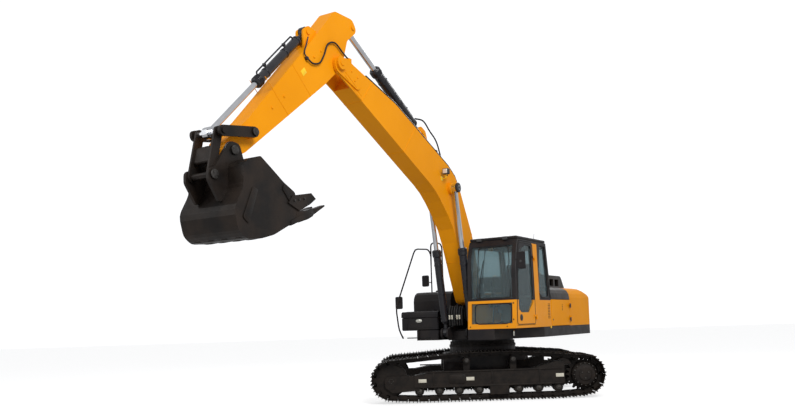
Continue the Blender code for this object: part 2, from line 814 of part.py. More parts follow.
def upper_frame():
    """Deck and skirts, the boom's brackets, and the lugs at the foot of each boom cylinder."""
    tail = tail_plan(0.0, 1, 1)
    plan = tail + rounded(
        [
            (TOOL_BOX_FRONT, -SIDE_Y + 0.03, 0.10),
            (TOOL_BOX_FRONT, TANK_LEFT_Y, 0.02),
            (0.72, TANK_LEFT_Y),
            (0.72, CAB_RIGHT_Y - 0.01),
            (CAB_FRONT, CAB_RIGHT_Y - 0.01, 0.02),
            (CAB_FRONT, SIDE_Y, 0.06),
        ]
    )
    deck = plate(plan, DECK_BOTTOM, DECK_TOP, "plan")
    seat = cylinder((0, 0, RING_TOP), (0, 0, DECK_BOTTOM + 0.02), RING_RADIUS - 0.03, 32)
    foot_x, foot_z = BOOM_FOOT
    lug_x, lug_z = BOOM_CYLINDER_FOOT
    bracket = rounded(
        [
            (-0.55, DECK_TOP - 0.05),
            (-0.55, DECK_TOP + 0.18, 0.05),
            (foot_x - 0.26, foot_z - 0.02, 0.10),
            (foot_x - 0.08, foot_z + 0.15, 0.10),
            (foot_x + 0.10, foot_z + 0.14, 0.10),
            (foot_x + 0.22, foot_z - 0.14, 0.10),
            (lug_x - 0.13, lug_z + 0.12, 0.05),
            (lug_x - 0.03, lug_z + 0.11, 0.06),
            (lug_x + 0.11, lug_z + 0.07, 0.07),
            (lug_x + 0.11, lug_z - 0.09, 0.05),
            (lug_x, DECK_BOTTOM - 0.005),
            (0.50, DECK_BOTTOM - 0.005),
            (0.50, DECK_TOP - 0.05),
        ]
    )
    outer_lug = rounded(
        [
            (0.60, DECK_BOTTOM + 0.01),
            (0.60, DECK_TOP + 0.04, 0.02),
            (lug_x - 0.13, lug_z + 0.12, 0.05),
            (lug_x - 0.03, lug_z + 0.11, 0.06),
            (lug_x + 0.11, lug_z + 0.07, 0.07),
            (lug_x + 0.11, lug_z - 0.09, 0.05),
            (lug_x, DECK_BOTTOM + 0.01),
        ]
    )
    inner = BRACKET_INNER
    extras = [seat]
    for side in (1, -1):
        extras.append(side_plate(bracket, inner, BRACKET_THICKNESS, side))
        outer = CYLINDER_Y + EYE_HALF_WIDTH + GAP
        extras.append(side_plate(outer_lug, outer, 0.028, side))
        ends = sorted((side * (inner + 0.01), side * (outer + 0.034)))
        extras.append(cross_pin(BOOM_CYLINDER_FOOT, ends[0], ends[1], SMALL_PIN_RADIUS))
    reach = inner + BRACKET_THICKNESS + 0.02
    extras.append(cross_pin(BOOM_FOOT, -reach, reach, PIN_RADIUS + 0.005))
    extras.append(box((-0.62, -0.24, DECK_TOP - 0.05), (0.0, 0.24, DECK_TOP + 0.16), 0.02))
    extras.append(box((0.66, -0.205, DECK_BOTTOM + 0.004), (0.86, 0.205, DECK_TOP - 0.03)))
    return joined(deck, *extras)


def counterweight():
    """A solid tail with cheeks that reach forwards beside the engine."""
    low, high = DECK_TOP + GAP, COUNTERWEIGHT_TOP
    body = plate(tail_plan(COUNTERWEIGHT_FRONT, 1, 1), low, high, "plan")
    rear = TAIL_X + COUNTERWEIGHT_DEPTH
    bay = box((rear, -SIDE_Y + 0.30, low - 0.1), (COUNTERWEIGHT_FRONT + 0.1, SIDE_Y - 0.30, high + 0.1))
    body = cut(body, bay)
    body = boolean(body, [shoulder_block()], "INTERSECT")
    return body


def shoulder_outline(inset=0.0):
    """The cross section above the deck: upright sides that turn in to a flat top."""
    side = SIDE_Y - inset
    top = COUNTERWEIGHT_TOP - inset
    return rounded(
        [
            (side, DECK_TOP - 0.5),
            (side, top, SHOULDER_ROUND),
            (-side, top, SHOULDER_ROUND),
            (-side, DECK_TOP - 0.5),
        ]
    )


def shoulder_block():
    """What bounds the tail's upper edges: the cross section, and the slope down to the rear."""
    across = plate(shoulder_outline(), TAIL_X - 0.1, 0.1, "front")
    along = plate(
        rounded(
            [
                (0.1, DECK_TOP - 0.3),
                (0.1, COUNTERWEIGHT_TOP),
                (-2.28, COUNTERWEIGHT_TOP, 0.2),
                (-2.70, COUNTERWEIGHT_TOP - 0.18, 0.25),
                (TAIL_X, COUNTERWEIGHT_TOP - 0.52, 0.3),
                (TAIL_X + 0.03, DECK_TOP - 0.3),
            ]
        ),
        -2.0,
        2.0,
    )
    return boolean(across, [along], "INTERSECT")


def top_cover():
    """The raised cover over the cooler behind the cab, open underneath."""
    front, rear = CAB_REAR - 0.02, COUNTERWEIGHT_FRONT + GAP
    inner_y = 0.52
    outer = [(SIDE_Y, SHOULDER_BOTTOM)] + [
        (y, z) for y, z in shoulder_outline() if y > inner_y and z > SHOULDER_BOTTOM
    ]
    outer += [(inner_y, COUNTERWEIGHT_TOP), (inner_y, DECK_TOP + GAP), (inner_y + PANEL, DECK_TOP + GAP)]
    inside = [
        (y, z) for y, z in shoulder_outline(PANEL) if y > inner_y + PANEL and z > SHOULDER_BOTTOM
    ]
    outline = outer + [(inner_y + PANEL, COUNTERWEIGHT_TOP - PANEL)]
    outline += list(reversed(inside)) + [(SIDE_Y - PANEL, SHOULDER_BOTTOM)]
    return plate(outline, rear, front, "front")


def side_door(side):
    """An upright access door, flush with the body side, with its two upper knuckles."""
    front = CAB_REAR - 0.02 if side > 0 else TANK_REAR - DOOR_GAP
    rear = COUNTERWEIGHT_FRONT + DOOR_GAP
    top = SHOULDER_BOTTOM - DOOR_GAP
    inner, outer = sorted((side * (SIDE_Y - PANEL), side * (SIDE_Y + DOOR_PROUD)))
    low = (rear, inner, DECK_TOP + DOOR_GAP)
    high = (front, outer, top)
    return box(low, high, 0.006)


def side_door_hinges(side):
    """The knuckles of a side door: those that stay on the tail, and those that turn."""
    pairs = [
        hinge_pair(COUNTERWEIGHT_FRONT, side, z, z + 0.09, 0.04)
        for z in (DECK_TOP + 0.12, SHOULDER_BOTTOM - 0.16)
    ]
    return [pair[0] for pair in pairs], [pair[1] for pair in pairs]


def fuel_tank():
    return joined(
        plate(
            rounded(
                [
                    (TANK_SPLIT + GAP, DECK_TOP + GAP),
                    (TANK_FRONT, DECK_TOP + GAP, 0.04),
                    (TANK_FRONT, TANK_TOP, 0.20),
                    (TANK_SPLIT + GAP, TANK_TOP, 0.02),
                ]
            ),
            -SIDE_Y + 0.02,
            TANK_LEFT_Y,
        ),
        cylinder((-0.05, -0.95, TANK_TOP - 0.02), (-0.05, -0.95, TANK_TOP + 0.05), 0.06),
    )


def hydraulic_tank():
    return box(
        (TANK_REAR, -SIDE_Y + 0.02, DECK_TOP + GAP), (TANK_SPLIT - GAP, TANK_LEFT_Y, TANK_TOP), 0.03
    )


def tool_box():
    """An open-topped box in front of the fuel tank; its lid is a piece of its own."""
    outer = box(
        (TANK_FRONT + 0.004, -SIDE_Y + 0.04, DECK_TOP + GAP),
        (TOOL_BOX_FRONT - 0.01, TANK_LEFT_Y - 0.01, TOOL_BOX_TOP - LID_DEPTH - GAP),
        0.02,
    )
    inner = box(
        (TANK_FRONT + 0.03, -SIDE_Y + 0.066, DECK_TOP + 0.03),
        (TOOL_BOX_FRONT - 0.036, TANK_LEFT_Y - 0.036, TOOL_BOX_TOP + 0.1),
    )
    return cut(outer, inner)


def tool_box_lid():
    front = TOOL_BOX_FRONT - 0.01
    rear = LID_REAR
    low = TOOL_BOX_TOP - LID_DEPTH
    shell = plate(
        rounded([(rear, low), (front, low), (front, TOOL_BOX_TOP, 0.10), (rear, TOOL_BOX_TOP, 0.02)]),
        -SIDE_Y + 0.04,
        TANK_LEFT_Y - 0.01,
    )
    inner = plate(
        rounded(
            [
                (rear + LID_WALL, low - 0.1),
                (front - LID_WALL, low - 0.1),
                (front - LID_WALL, TOOL_BOX_TOP - LID_WALL, 0.08),
                (rear + LID_WALL, TOOL_BOX_TOP - LID_WALL),
            ]
        ),
        -SIDE_Y + 0.066,
        TANK_LEFT_Y - 0.036,
    )
    return cut(shell, inner)


def engine_hood():
    """The raised hood over the engine, an open-bottomed shell with slots in its left wall."""
    rear, front = -2.30, HOOD_HINGE[0] - 0.03
    low = COUNTERWEIGHT_TOP + DOOR_GAP
    left, right = 0.96, -0.80

    def outline(inset):
        return rounded(
            [
                (front - inset, low if inset == 0.0 else low - 0.2),
                (front - 0.03 - inset, HOOD_TOP - inset, 0.10),
                (rear + 0.22 + inset, HOOD_TOP - inset, 0.14),
                (rear + inset, low if inset == 0.0 else low - 0.2),
            ]
        )

    shell = plate(outline(0.0), right, left)
    hollow = plate(outline(PANEL), right + PANEL, left - PANEL)
    slots = [
        box((rear + 0.36 + 0.30 * index, left - 0.1, low + 0.05), (rear + 0.58 + 0.30 * index, left + 0.1, HOOD_TOP - 0.08))
        for index in range(2)
    ]
    return cut(shell, hollow, *slots)


def engine_block():
    return box((-2.05, -0.44, DECK_TOP + GAP), (-0.80, 0.45, DECK_TOP + 0.72), 0.04)


def exhaust():
    """The stack right of the hood, standing on the body top's deck plate."""
    foot = (-1.60, -0.93, DECK_TOP + GAP)
    return bent_bar([foot, (-1.60, -0.93, 2.55), (-1.74, -0.93, 2.70)], 0.055, 0.08, 3)


def handrails():
    """The front rail with its mirror, and the rail on the tank with the second mirror."""
    y = -SIDE_Y + 0.08
    front = bent_bar(
        [
            (TOOL_BOX_FRONT + GAP, y, DECK_BOTTOM + 0.05),
            (1.13, y, DECK_TOP + 0.02),
            (1.22, y, 1.80),
            (0.42, y, 3.05),
            (-0.12, y, 3.08),
            (-0.235, y, 2.98),
            (-0.235, y, TANK_TOP + GAP),
        ],
        RAIL_RADIUS,
        resolution=1,
    )
    rear = bent_bar(
        [
            (-0.235, y, 2.75),
            (-0.245, y, 3.20),
            (-0.38, y, 3.245),
            (-0.66, y, 3.245),
            (-0.735, y, 3.17),
            (-0.735, y, TANK_TOP + GAP),
        ],
        RAIL_RADIUS,
    )
    front_mirror = box((1.02, y - 0.13, 1.79), (1.05, y + 0.03, 2.03), 0.012)
    front_arm = bent_bar([(1.135, y, 1.93), (1.04, y - 0.05, 1.93)], 0.010)
    tank_mirror = box((0.02, y - 0.08, 2.27), (0.05, y + 0.08, 2.50), 0.012)
    tank_arm = bent_bar([(-0.235, y, 2.36), (0.035, y, 2.36)], 0.010)
    return joined(front, rear, front_arm, front_mirror, tank_arm, tank_mirror)


# ---------------------------------------------------------------- cab
CAB_FACE = [
    (CAB_FRONT, DECK_TOP + GAP),
    (CAB_FRONT - 0.04, WAIST_Z),
    (CAB_FRONT - 0.055, 2.45),
    (CAB_FRONT - 0.085, 2.68),
    (CAB_FRONT - 0.15, 2.90),
    (CAB_FRONT - 0.20, CAB_WALL_TOP),
]
CAB_BACK = [
    (CAB_REAR + 0.165, CAB_WALL_TOP),
    (CAB_REAR + 0.055, 2.37),
    (CAB_REAR + 0.005, 1.90),
    (CAB_REAR, DECK_TOP + GAP),
]


def moved(points, along):
    return [(x + along, z) for x, z in points]


def between(points, low, high):
    """The part of an upward or downward line between two heights."""
    result = []
    for (ax, az), (bx, bz) in zip(points, points[1:]):
        for z in sorted({az, bz, *[level for level in (low, high) if min(az, bz) < level < max(az, bz)]}):
            x = ax + (bx - ax) * (z - az) / (bz - az)
            if low - 1e-9 <= z <= high + 1e-9:
                result.append((x, z))
    result = sorted(set(result), key=lambda point: point[1])
    return result


def band(line, depth, low, high):
    """The outline of a curved wall that is depth thick, between two heights."""
    face = between(line, low, high)
    return face + list(reversed(moved(face, depth)))


def cab_front_frame():
    frame = plate(band(CAB_FACE, -FRONT_DEPTH, DECK_TOP + GAP, CAB_WALL_TOP - GAP), CAB_RIGHT_Y, SIDE_Y)
    low_y, high_y = CAB_RIGHT_Y + GLASS_SIDE, SIDE_Y - GLASS_SIDE
    windows = [box((0.8, low_y, low), (1.6, high_y, high)) for low, high in (UPPER_GLASS, LOWER_GLASS)]
    return cut(frame, *windows)


def front_pane(low, high):
    line = moved(CAB_FACE, -0.02)
    return plate(
        band(line, -GLASS, low + GAP, high - GAP),
        CAB_RIGHT_Y + GLASS_SIDE + GAP,
        SIDE_Y - GLASS_SIDE - GAP,
    )


def door_outline():
    face = between(moved(CAB_FACE, -FRONT_DEPTH - DOOR_GAP), DOOR_LOW, DOOR_HIGH)
    return face + [(0.55, DOOR_HIGH), (DOOR_REAR_X + 0.03, DOOR_HIGH - 0.06), (DOOR_REAR_X, WAIST_Z), (DOOR_REAR_X, DOOR_LOW)]


def door_window():
    return rounded(
        [
            (0.545, 2.90, 0.04),
            (0.495, 1.81, 0.03),
            (0.69, 1.625, 0.05),
            (1.08, 1.625, 0.05),
            (1.195, 1.69, 0.05),
            (1.165, 2.45, 0.10),
            (1.06, 2.80, 0.12),
            (0.80, 2.90, 0.10),
        ]
    )


def quarter_window():
    return rounded(
        [
            (0.10, 2.92, 0.05),
            (-0.16, 2.92, 0.05),
            (-0.29, 1.93, 0.05),
            (0.10, 1.93, 0.08),
            (0.20, 2.02, 0.08),
        ]
    )


def door_panel():
    inner, outer = SIDE_Y - 0.050, SIDE_Y + DOOR_PROUD
    return plate(door_outline(), inner, outer, holes=[door_window()])


def pane(window, y):
    """Glass that fills a window of the side view."""
    return plate(shrunk(window, GAP), y, y + GLASS)


def cab_left_wall():
    """The pillar behind the door, the rear quarter and the sill and header along the door."""
    inner, outer = SIDE_Y - CAB_WALL, SIDE_Y
    rear = between(moved(CAB_BACK, CAB_WALL + GAP), DECK_TOP + GAP, CAB_WALL_TOP - GAP)
    face = between(moved(CAB_FACE, -FRONT_DEPTH - GAP), DECK_TOP + GAP, CAB_WALL_TOP - GAP)
    outline = list(reversed(rear)) + face
    wall = plate(outline, inner, outer, holes=[quarter_window()])
    return cut(wall, plate(shrunk(door_outline(), -DOOR_GAP), inner - CUT_MARGIN, outer + CUT_MARGIN))


def cab_right_wall():
    face = between(moved(CAB_FACE, -FRONT_DEPTH - GAP), DECK_TOP + GAP, CAB_WALL_TOP - GAP)
    rear = between(moved(CAB_BACK, CAB_WALL + GAP), DECK_TOP + GAP, CAB_WALL_TOP - GAP)
    outline = list(reversed(rear)) + face
    return plate(outline, CAB_RIGHT_Y, CAB_RIGHT_Y + CAB_WALL, holes=[right_window()])


def right_window():
    return rounded(
        [(1.06, 2.86, 0.10), (-0.12, 2.90, 0.05), (-0.22, 1.95, 0.05), (1.15, 1.95, 0.05), (1.15, 2.45, 0.1)]
    )


def cab_rear_wall():
    line = sorted(CAB_BACK, key=lambda point: point[1])
    wall = plate(band(line, CAB_WALL, DECK_TOP + GAP, CAB_WALL_TOP - GAP), CAB_RIGHT_Y, SIDE_Y)
    window = box(
        (-0.8, CAB_RIGHT_Y + GLASS_SIDE, REAR_GLASS[0]), (0.1, SIDE_Y - GLASS_SIDE, REAR_GLASS[1])
    )
    return cut(wall, window)


def rear_pane():
    line = moved(sorted(CAB_BACK, key=lambda point: point[1]), 0.02)
    return plate(
        band(line, GLASS, REAR_GLASS[0] + GAP, REAR_GLASS[1] - GAP),
        CAB_RIGHT_Y + GLASS_SIDE + GAP,
        SIDE_Y - GLASS_SIDE - GAP,
    )


def cab_roof():
    front = CAB_FACE[-1][0]
    rear = CAB_BACK[0][0]
    return box(
        (rear, CAB_RIGHT_Y, CAB_WALL_TOP), (front + 0.015, SIDE_Y, CAB_WALL_TOP + ROOF_THICKNESS), 0.028, 2
    )


def left_mirror():
    """The mirror at the cab's front left post, on its arm."""
    x = CAB_FRONT - 0.10
    head = box((x, SIDE_Y + 0.03, 2.42), (x + 0.04, SIDE_Y + 0.20, 2.74), 0.018, 2)
    return joined(head, cylinder((x + 0.012, SIDE_Y + GAP, 2.60), (x + 0.012, SIDE_Y + 0.06, 2.60), 0.010, 12))


def seat_stand():
    """The suspension box under the seat with the control console at each side of it."""
    middle = (CAB_RIGHT_Y + SIDE_Y) / 2
    stand = box((0.05, middle - 0.20, DECK_TOP + GAP), (0.50, middle + 0.20, SEAT_Z - GAP), 0.02)
    consoles = []
    for side in (1, -1):
        near, far = sorted((middle + side * 0.275, middle + side * 0.37))
        consoles.append(box((0.05, near, SEAT_Z - 0.05), (0.68, far, SEAT_Z + 0.16), 0.025))
        low_y, high_y = sorted((middle + side * 0.15, middle + side * 0.30))
        consoles.append(box((0.12, low_y, SEAT_Z - 0.16), (0.42, high_y, SEAT_Z - 0.03)))
        lever = (0.60, middle + side * 0.322, SEAT_Z + 0.14)
        consoles.append(cylinder(lever, (0.60, middle + side * 0.322, SEAT_Z + 0.34), 0.014, 10))
    return joined(stand, *consoles)


def seat_cushion():
    middle = (CAB_RIGHT_Y + SIDE_Y) / 2
    low = (SEAT_REAR, middle - 0.24, SEAT_Z)
    return box(low, (0.58, middle + 0.24, SEAT_Z + CUSHION_DEPTH), 0.04, 2)


def seat_back():
    middle = (CAB_RIGHT_Y + SIDE_Y) / 2
    cushion_top = SEAT_Z + CUSHION_DEPTH + GAP
    outline = rounded(
        [
            (SEAT_REAR - GAP, SEAT_Z + 0.02),
            (SEAT_REAR - GAP, cushion_top),
            (0.14, cushion_top + 0.03, 0.02),
            (0.08, SEAT_Z + 0.80, 0.04),
            (-0.03, SEAT_Z + 0.80, 0.04),
            (-0.05, SEAT_Z + 0.05, 0.04),
        ]
    )
    return plate(outline, middle - 0.23, middle + 0.23)


def build_upper():
    doors = {}
    fixed_knuckles = []
    for side, word, body in ((1, "left", LEFT_DOOR), (-1, "right", RIGHT_DOOR)):
        fixed, moving = side_door_hinges(side)
        fixed_knuckles += fixed
        doors[word] = (joined(side_door(side), *moving), body)
    node(upper_frame(), "upper_frame", "dark_paint", UPPER)
    node(joined(counterweight(), *fixed_knuckles), "counterweight", "yellow_paint", UPPER)
    for word, (door, body) in doors.items():
        node(door, f"{word}_side_door", "yellow_paint", body)
    hood, cover = with_hood_hinge(engine_hood(), top_cover())
    node(hood, "engine_hood", "dark_paint", HOOD)
    node(cover, "cooler_cover", "dark_paint", UPPER)
    node(engine_block(), "engine_block", "track_steel", UPPER)
    node(exhaust(), "exhaust", "track_steel", UPPER)
    node(fuel_tank(), "fuel_tank", "dark_paint", UPPER)
    node(hydraulic_tank(), "hydraulic_tank", "dark_paint", UPPER)
    box_piece, lid_piece = with_lid_hinge(tool_box(), tool_box_lid())
    node(box_piece, "tool_box", "dark_paint", UPPER)
    node(lid_piece, "tool_box_lid", "dark_paint", LID)
    node(handrails(), "handrails", "dark_paint", UPPER)


def with_hood_hinge(hood, cover):
    """Knuckles across the front edge of the hood, on the cooler cover's edge."""
    x, z = HOOD_HINGE
    middle = 0.70
    fixed = joined(
        cylinder((x, middle, z), (x, middle + 0.06, z), HINGE_RADIUS, 12),
        box((x - 0.008, middle + 0.004, COUNTERWEIGHT_TOP - 0.02), (x + 0.008, middle + 0.056, z)),
    )
    moving = joined(
        cylinder((x, middle - 0.06, z), (x, middle - GAP, z), HINGE_RADIUS, 12),
        box((x - 0.07, middle - 0.056, z - 0.008), (x, middle - 0.004, z + 0.008)),
    )
    return joined(hood, moving), joined(cover, fixed)


def with_lid_hinge(box_piece, lid_piece):
    """Knuckles across the rear edge of the tool box lid."""
    x, z = LID_HINGE
    y = -0.90
    low = TOOL_BOX_TOP - LID_DEPTH
    fixed = joined(
        cylinder((x, y, z), (x, y + 0.06, z), HINGE_RADIUS, 12),
        box((x - 0.042, y + 0.004, z - 0.012), (x, y + 0.056, z + 0.006)),
        box((x - 0.042, y + 0.004, low - 0.05), (x - 0.022, y + 0.056, z + 0.006)),
    )
    moving = joined(
        cylinder((x, y - 0.06, z), (x, y - GAP, z), HINGE_RADIUS, 12),
        box((x, y - 0.056, TOOL_BOX_TOP - 0.02), (x + 0.03, y - 0.004, z + 0.008)),
    )
    return joined(box_piece, fixed), joined(lid_piece, moving)


def build_cab():
    node(cab_front_frame(), "cab_front_frame", "dark_paint", UPPER)
    node(cab_right_wall(), "cab_right_wall", "dark_paint", UPPER)
    node(cab_rear_wall(), "cab_rear_wall", "dark_paint", UPPER)
    node(cab_roof(), "cab_roof", "dark_paint", UPPER)
    wall = cab_left_wall()
    panel = door_panel()
    pairs = [hinge_pair(CAB_HINGE_X, 1, z, z + 0.09, 0.085) for z in (DOOR_LOW + 0.10, 2.62)]
    node(joined(wall, *[pair[0] for pair in pairs]), "cab_left_wall", "yellow_paint", UPPER)
    node(joined(panel, *[pair[1] for pair in pairs]), "cab_door", "yellow_paint", CAB_DOOR)
    node(pane(door_window(), SIDE_Y - 0.025), "cab_door_glass", "glass", CAB_DOOR)
    node(pane(quarter_window(), SIDE_Y - 0.03), "quarter_glass", "glass", UPPER)
    node(pane(right_window(), CAB_RIGHT_Y + 0.02), "right_glass", "glass", UPPER)
    node(front_pane(*UPPER_GLASS), "windshield", "glass", UPPER)
    node(front_pane(*LOWER_GLASS), "lower_windshield", "glass", UPPER)
    node(rear_pane(), "rear_glass", "glass", UPPER)
    node(left_mirror(), "left_mirror", "plastic", UPPER)
    node(seat_stand(), "seat_stand", "plastic", UPPER)
    node(seat_cushion(), "seat_cushion", "fabric", UPPER)
    node(seat_back(), "seat_back", "fabric", UPPER)


# ---------------------------------------------------------------- front attachment
def pin_hole(centre, half_width, radius):
    """A cutter for a pin's hole, wider than the pin by its play."""
    return cross_pin(centre, -half_width, half_width, radius + PIN_PLAY, HOLE_SIDES)


def towards(start, end, distance):
    """The point of the side view that lies a distance from start, on the way to end."""
    start, end = Vector(start), Vector(end)
    return start + (end - start).normalized() * distance


def lug_outline(centre, base_a, base_b, radius):
    """A lug that stands on a base line between two points and is round about its pin."""
    centre, base_a, base_b = Vector(centre), Vector(base_a), Vector(base_b)
    along = (base_b - base_a).normalized()
    out = Vector((-along.y, along.x))
    if (centre - base_a).dot(out) < 0:
        out = -out
    top_a = centre - along * radius + out * radius * 0.95
    top_b = centre + along * radius + out * radius * 0.95
    return rounded([tuple(base_a), (*top_a, radius * 0.8), (*top_b, radius * 0.8), tuple(base_b)])


def boom_outline():
    """The boom's side view, from its foot up the back to the tip and down the belly."""
    foot_x, foot_z = BOOM_FOOT
    tip_x, tip_z = BOOM_TIP
    return rounded(
        [
            (foot_x - 0.14, foot_z + 0.05, 0.10),
            (0.62, 3.20, 0.9),
            (1.22, 4.33, 0.9),
            (3.30, 5.25, 1.0),
            (tip_x - 0.18, tip_z + 0.135, 0.10),
            (tip_x + 0.14, tip_z + 0.07, 0.12),
            (tip_x + 0.10, tip_z - 0.13, 0.10),
            (tip_x - 0.28, tip_z - 0.305, 0.5),
            (2.00, 3.92, 1.5),
            (1.36, 3.28, 1.5),
            (0.97, 2.35, 1.0),
            (foot_x + 0.33, foot_z - 0.09, 0.12),
            (foot_x - 0.02, foot_z - 0.15, 0.10),
        ]
    )


def boom_pipes():
    """The steel pipes along the boom's back, held by clamps that cross under them."""
    line = []
    for point in shrunk(boom_outline(), -PIPE_HEIGHT):
        if point.x > PIPE_END_X:
            line.append(line[-1].lerp(point, (PIPE_END_X - line[-1].x) / (point.x - line[-1].x)))
            break
        if point.x > PIPE_START_X:
            line.append(point)
    pipes = [tube([at(point, y) for point in line], PIPE_RADIUS, 1) for y in PIPE_YS]
    clamps = []
    for start, end in sorted(zip(line, line[1:]), key=lambda span: (span[0] - span[1]).length)[-CLAMPS:]:
        middle = start.lerp(end, CLAMP_SHARE)
        along = (end - start).normalized() * CLAMP_LENGTH / 2
        out = Vector((-along.y, along.x)).normalized()
        low, high = out * (GAP - PIPE_HEIGHT), out * (PIPE_RADIUS + 0.004)
        outline = [middle - along + low, middle + along + low, middle + along + high, middle - along + high]
        clamps.append(plate(outline, PIPE_YS[0] - 0.02, PIPE_YS[-1] + 0.02))
    return joined(clamps[0], *clamps[1:], *pipes)


def boom():
    """The boom as one box section, bent at its middle, with the arm's fork and its brackets."""
    tip_x, tip_z = BOOM_TIP
    body = plate(boom_outline(), -BOOM_HALF_WIDTH, BOOM_HALF_WIDTH)
    slot = ARM_HALF_WIDTH + MOVE_GAP
    body = cut(body, cross_pin(BOOM_TIP, -slot, slot, 0.43, 20))
    cheek = rounded(
        [
            (tip_x - 0.62, tip_z - 0.06, 0.08),
            (tip_x - 0.20, tip_z + 0.13, 0.10),
            (tip_x + 0.14, tip_z + 0.07, 0.12),
            (tip_x + 0.10, tip_z - 0.13, 0.10),
            (tip_x - 0.50, tip_z - 0.33, 0.10),
        ]
    )
    extras = [side_plate(cheek, slot, TIP_EAR_THICKNESS, side) for side in (1, -1)]
    ear_outer = slot + TIP_EAR_THICKNESS
    for side in (1, -1):
        ends = sorted((side * (ear_outer - 0.01), side * (ear_outer + 0.045)))
        extras.append(cross_pin(BOOM_TIP, ends[0], ends[1], 0.105, HOLE_SIDES))
    extras.append(cross_pin(BOOM_TIP, -ear_outer - 0.055, ear_outer + 0.055, PIN_RADIUS))
    for side in (1, -1):
        eye_inner = CYLINDER_Y - EYE_HALF_WIDTH
        ends = sorted((side * 0.10, side * (eye_inner - GAP)))
        extras.append(cross_pin(BOOM_CYLINDER_EYE, ends[0], ends[1], 0.11, HOLE_SIDES))
    bracket = lug_outline(ARM_CYLINDER_FOOT, (2.02, 4.66), (2.62, 4.92), 0.085)
    for side in (1, -1):
        extras.append(side_plate(bracket, EYE_HALF_WIDTH + GAP, 0.03, side))
    reach = EYE_HALF_WIDTH + 0.05
    extras.append(cross_pin(ARM_CYLINDER_FOOT, -reach, reach, SMALL_PIN_RADIUS))
    body = joined(body, *extras)
    foot_boss = cross_pin(BOOM_FOOT, -BRACKET_INNER + GAP, BRACKET_INNER - GAP, 0.13, HOLE_SIDES)
    body = joined(body, foot_boss)
    return cut(body, pin_hole(BOOM_FOOT, 0.4, PIN_RADIUS + 0.005))


def barrel(foot, eye, y, radius, rod_radius, length, pin_radius):
    """A cylinder's barrel: an eye at its foot, a bore for the rod and a thicker gland."""
    direction = (Vector(eye) - Vector(foot)).normalized()
    axis = Vector((direction.x, 0.0, direction.y))
    bore = rod_radius + BORE_PLAY
    profile = [
        (0.0, CLOSED_END),
        (bore, CLOSED_END),
        (bore, length),
        (radius * 0.95, length),
        (radius + 0.013, length - 0.02),
        (radius + 0.013, length - 0.13),
        (radius, length - 0.15),
        (radius, BARREL_START),
        (radius * 0.5, NECK_END),
        (radius * 0.5, 0.05),
        (0.0, 0.05),
    ]
    body = turned(profile, at(foot, y), axis, BARREL_SIDES)
    eye_piece = cross_pin(foot, y - EYE_HALF_WIDTH, y + EYE_HALF_WIDTH, pin_radius + 0.045, HOLE_SIDES)
    body = joined(body, eye_piece)
    hole = cross_pin(foot, y - 0.2, y + 0.2, pin_radius + PIN_PLAY, HOLE_SIDES)
    return cut(body, hole)


def rod(foot, eye, y, radius, length, pin_radius, pin_ends):
    """A cylinder's rod, length long from its eye's centre, with the eye and the pin through it."""
    inner = towards(eye, foot, length)
    neck = towards(eye, foot, pin_radius + 0.02)
    body = cylinder(at(inner, y), at(neck, y), radius, HOLE_SIDES)
    half = EYE_HALF_WIDTH
    eye_piece = cross_pin(eye, y - half + GAP, y + half - GAP, pin_radius + 0.04, HOLE_SIDES)
    return joined(body, eye_piece, cross_pin(eye, *pin_ends, pin_radius, HOLE_SIDES))


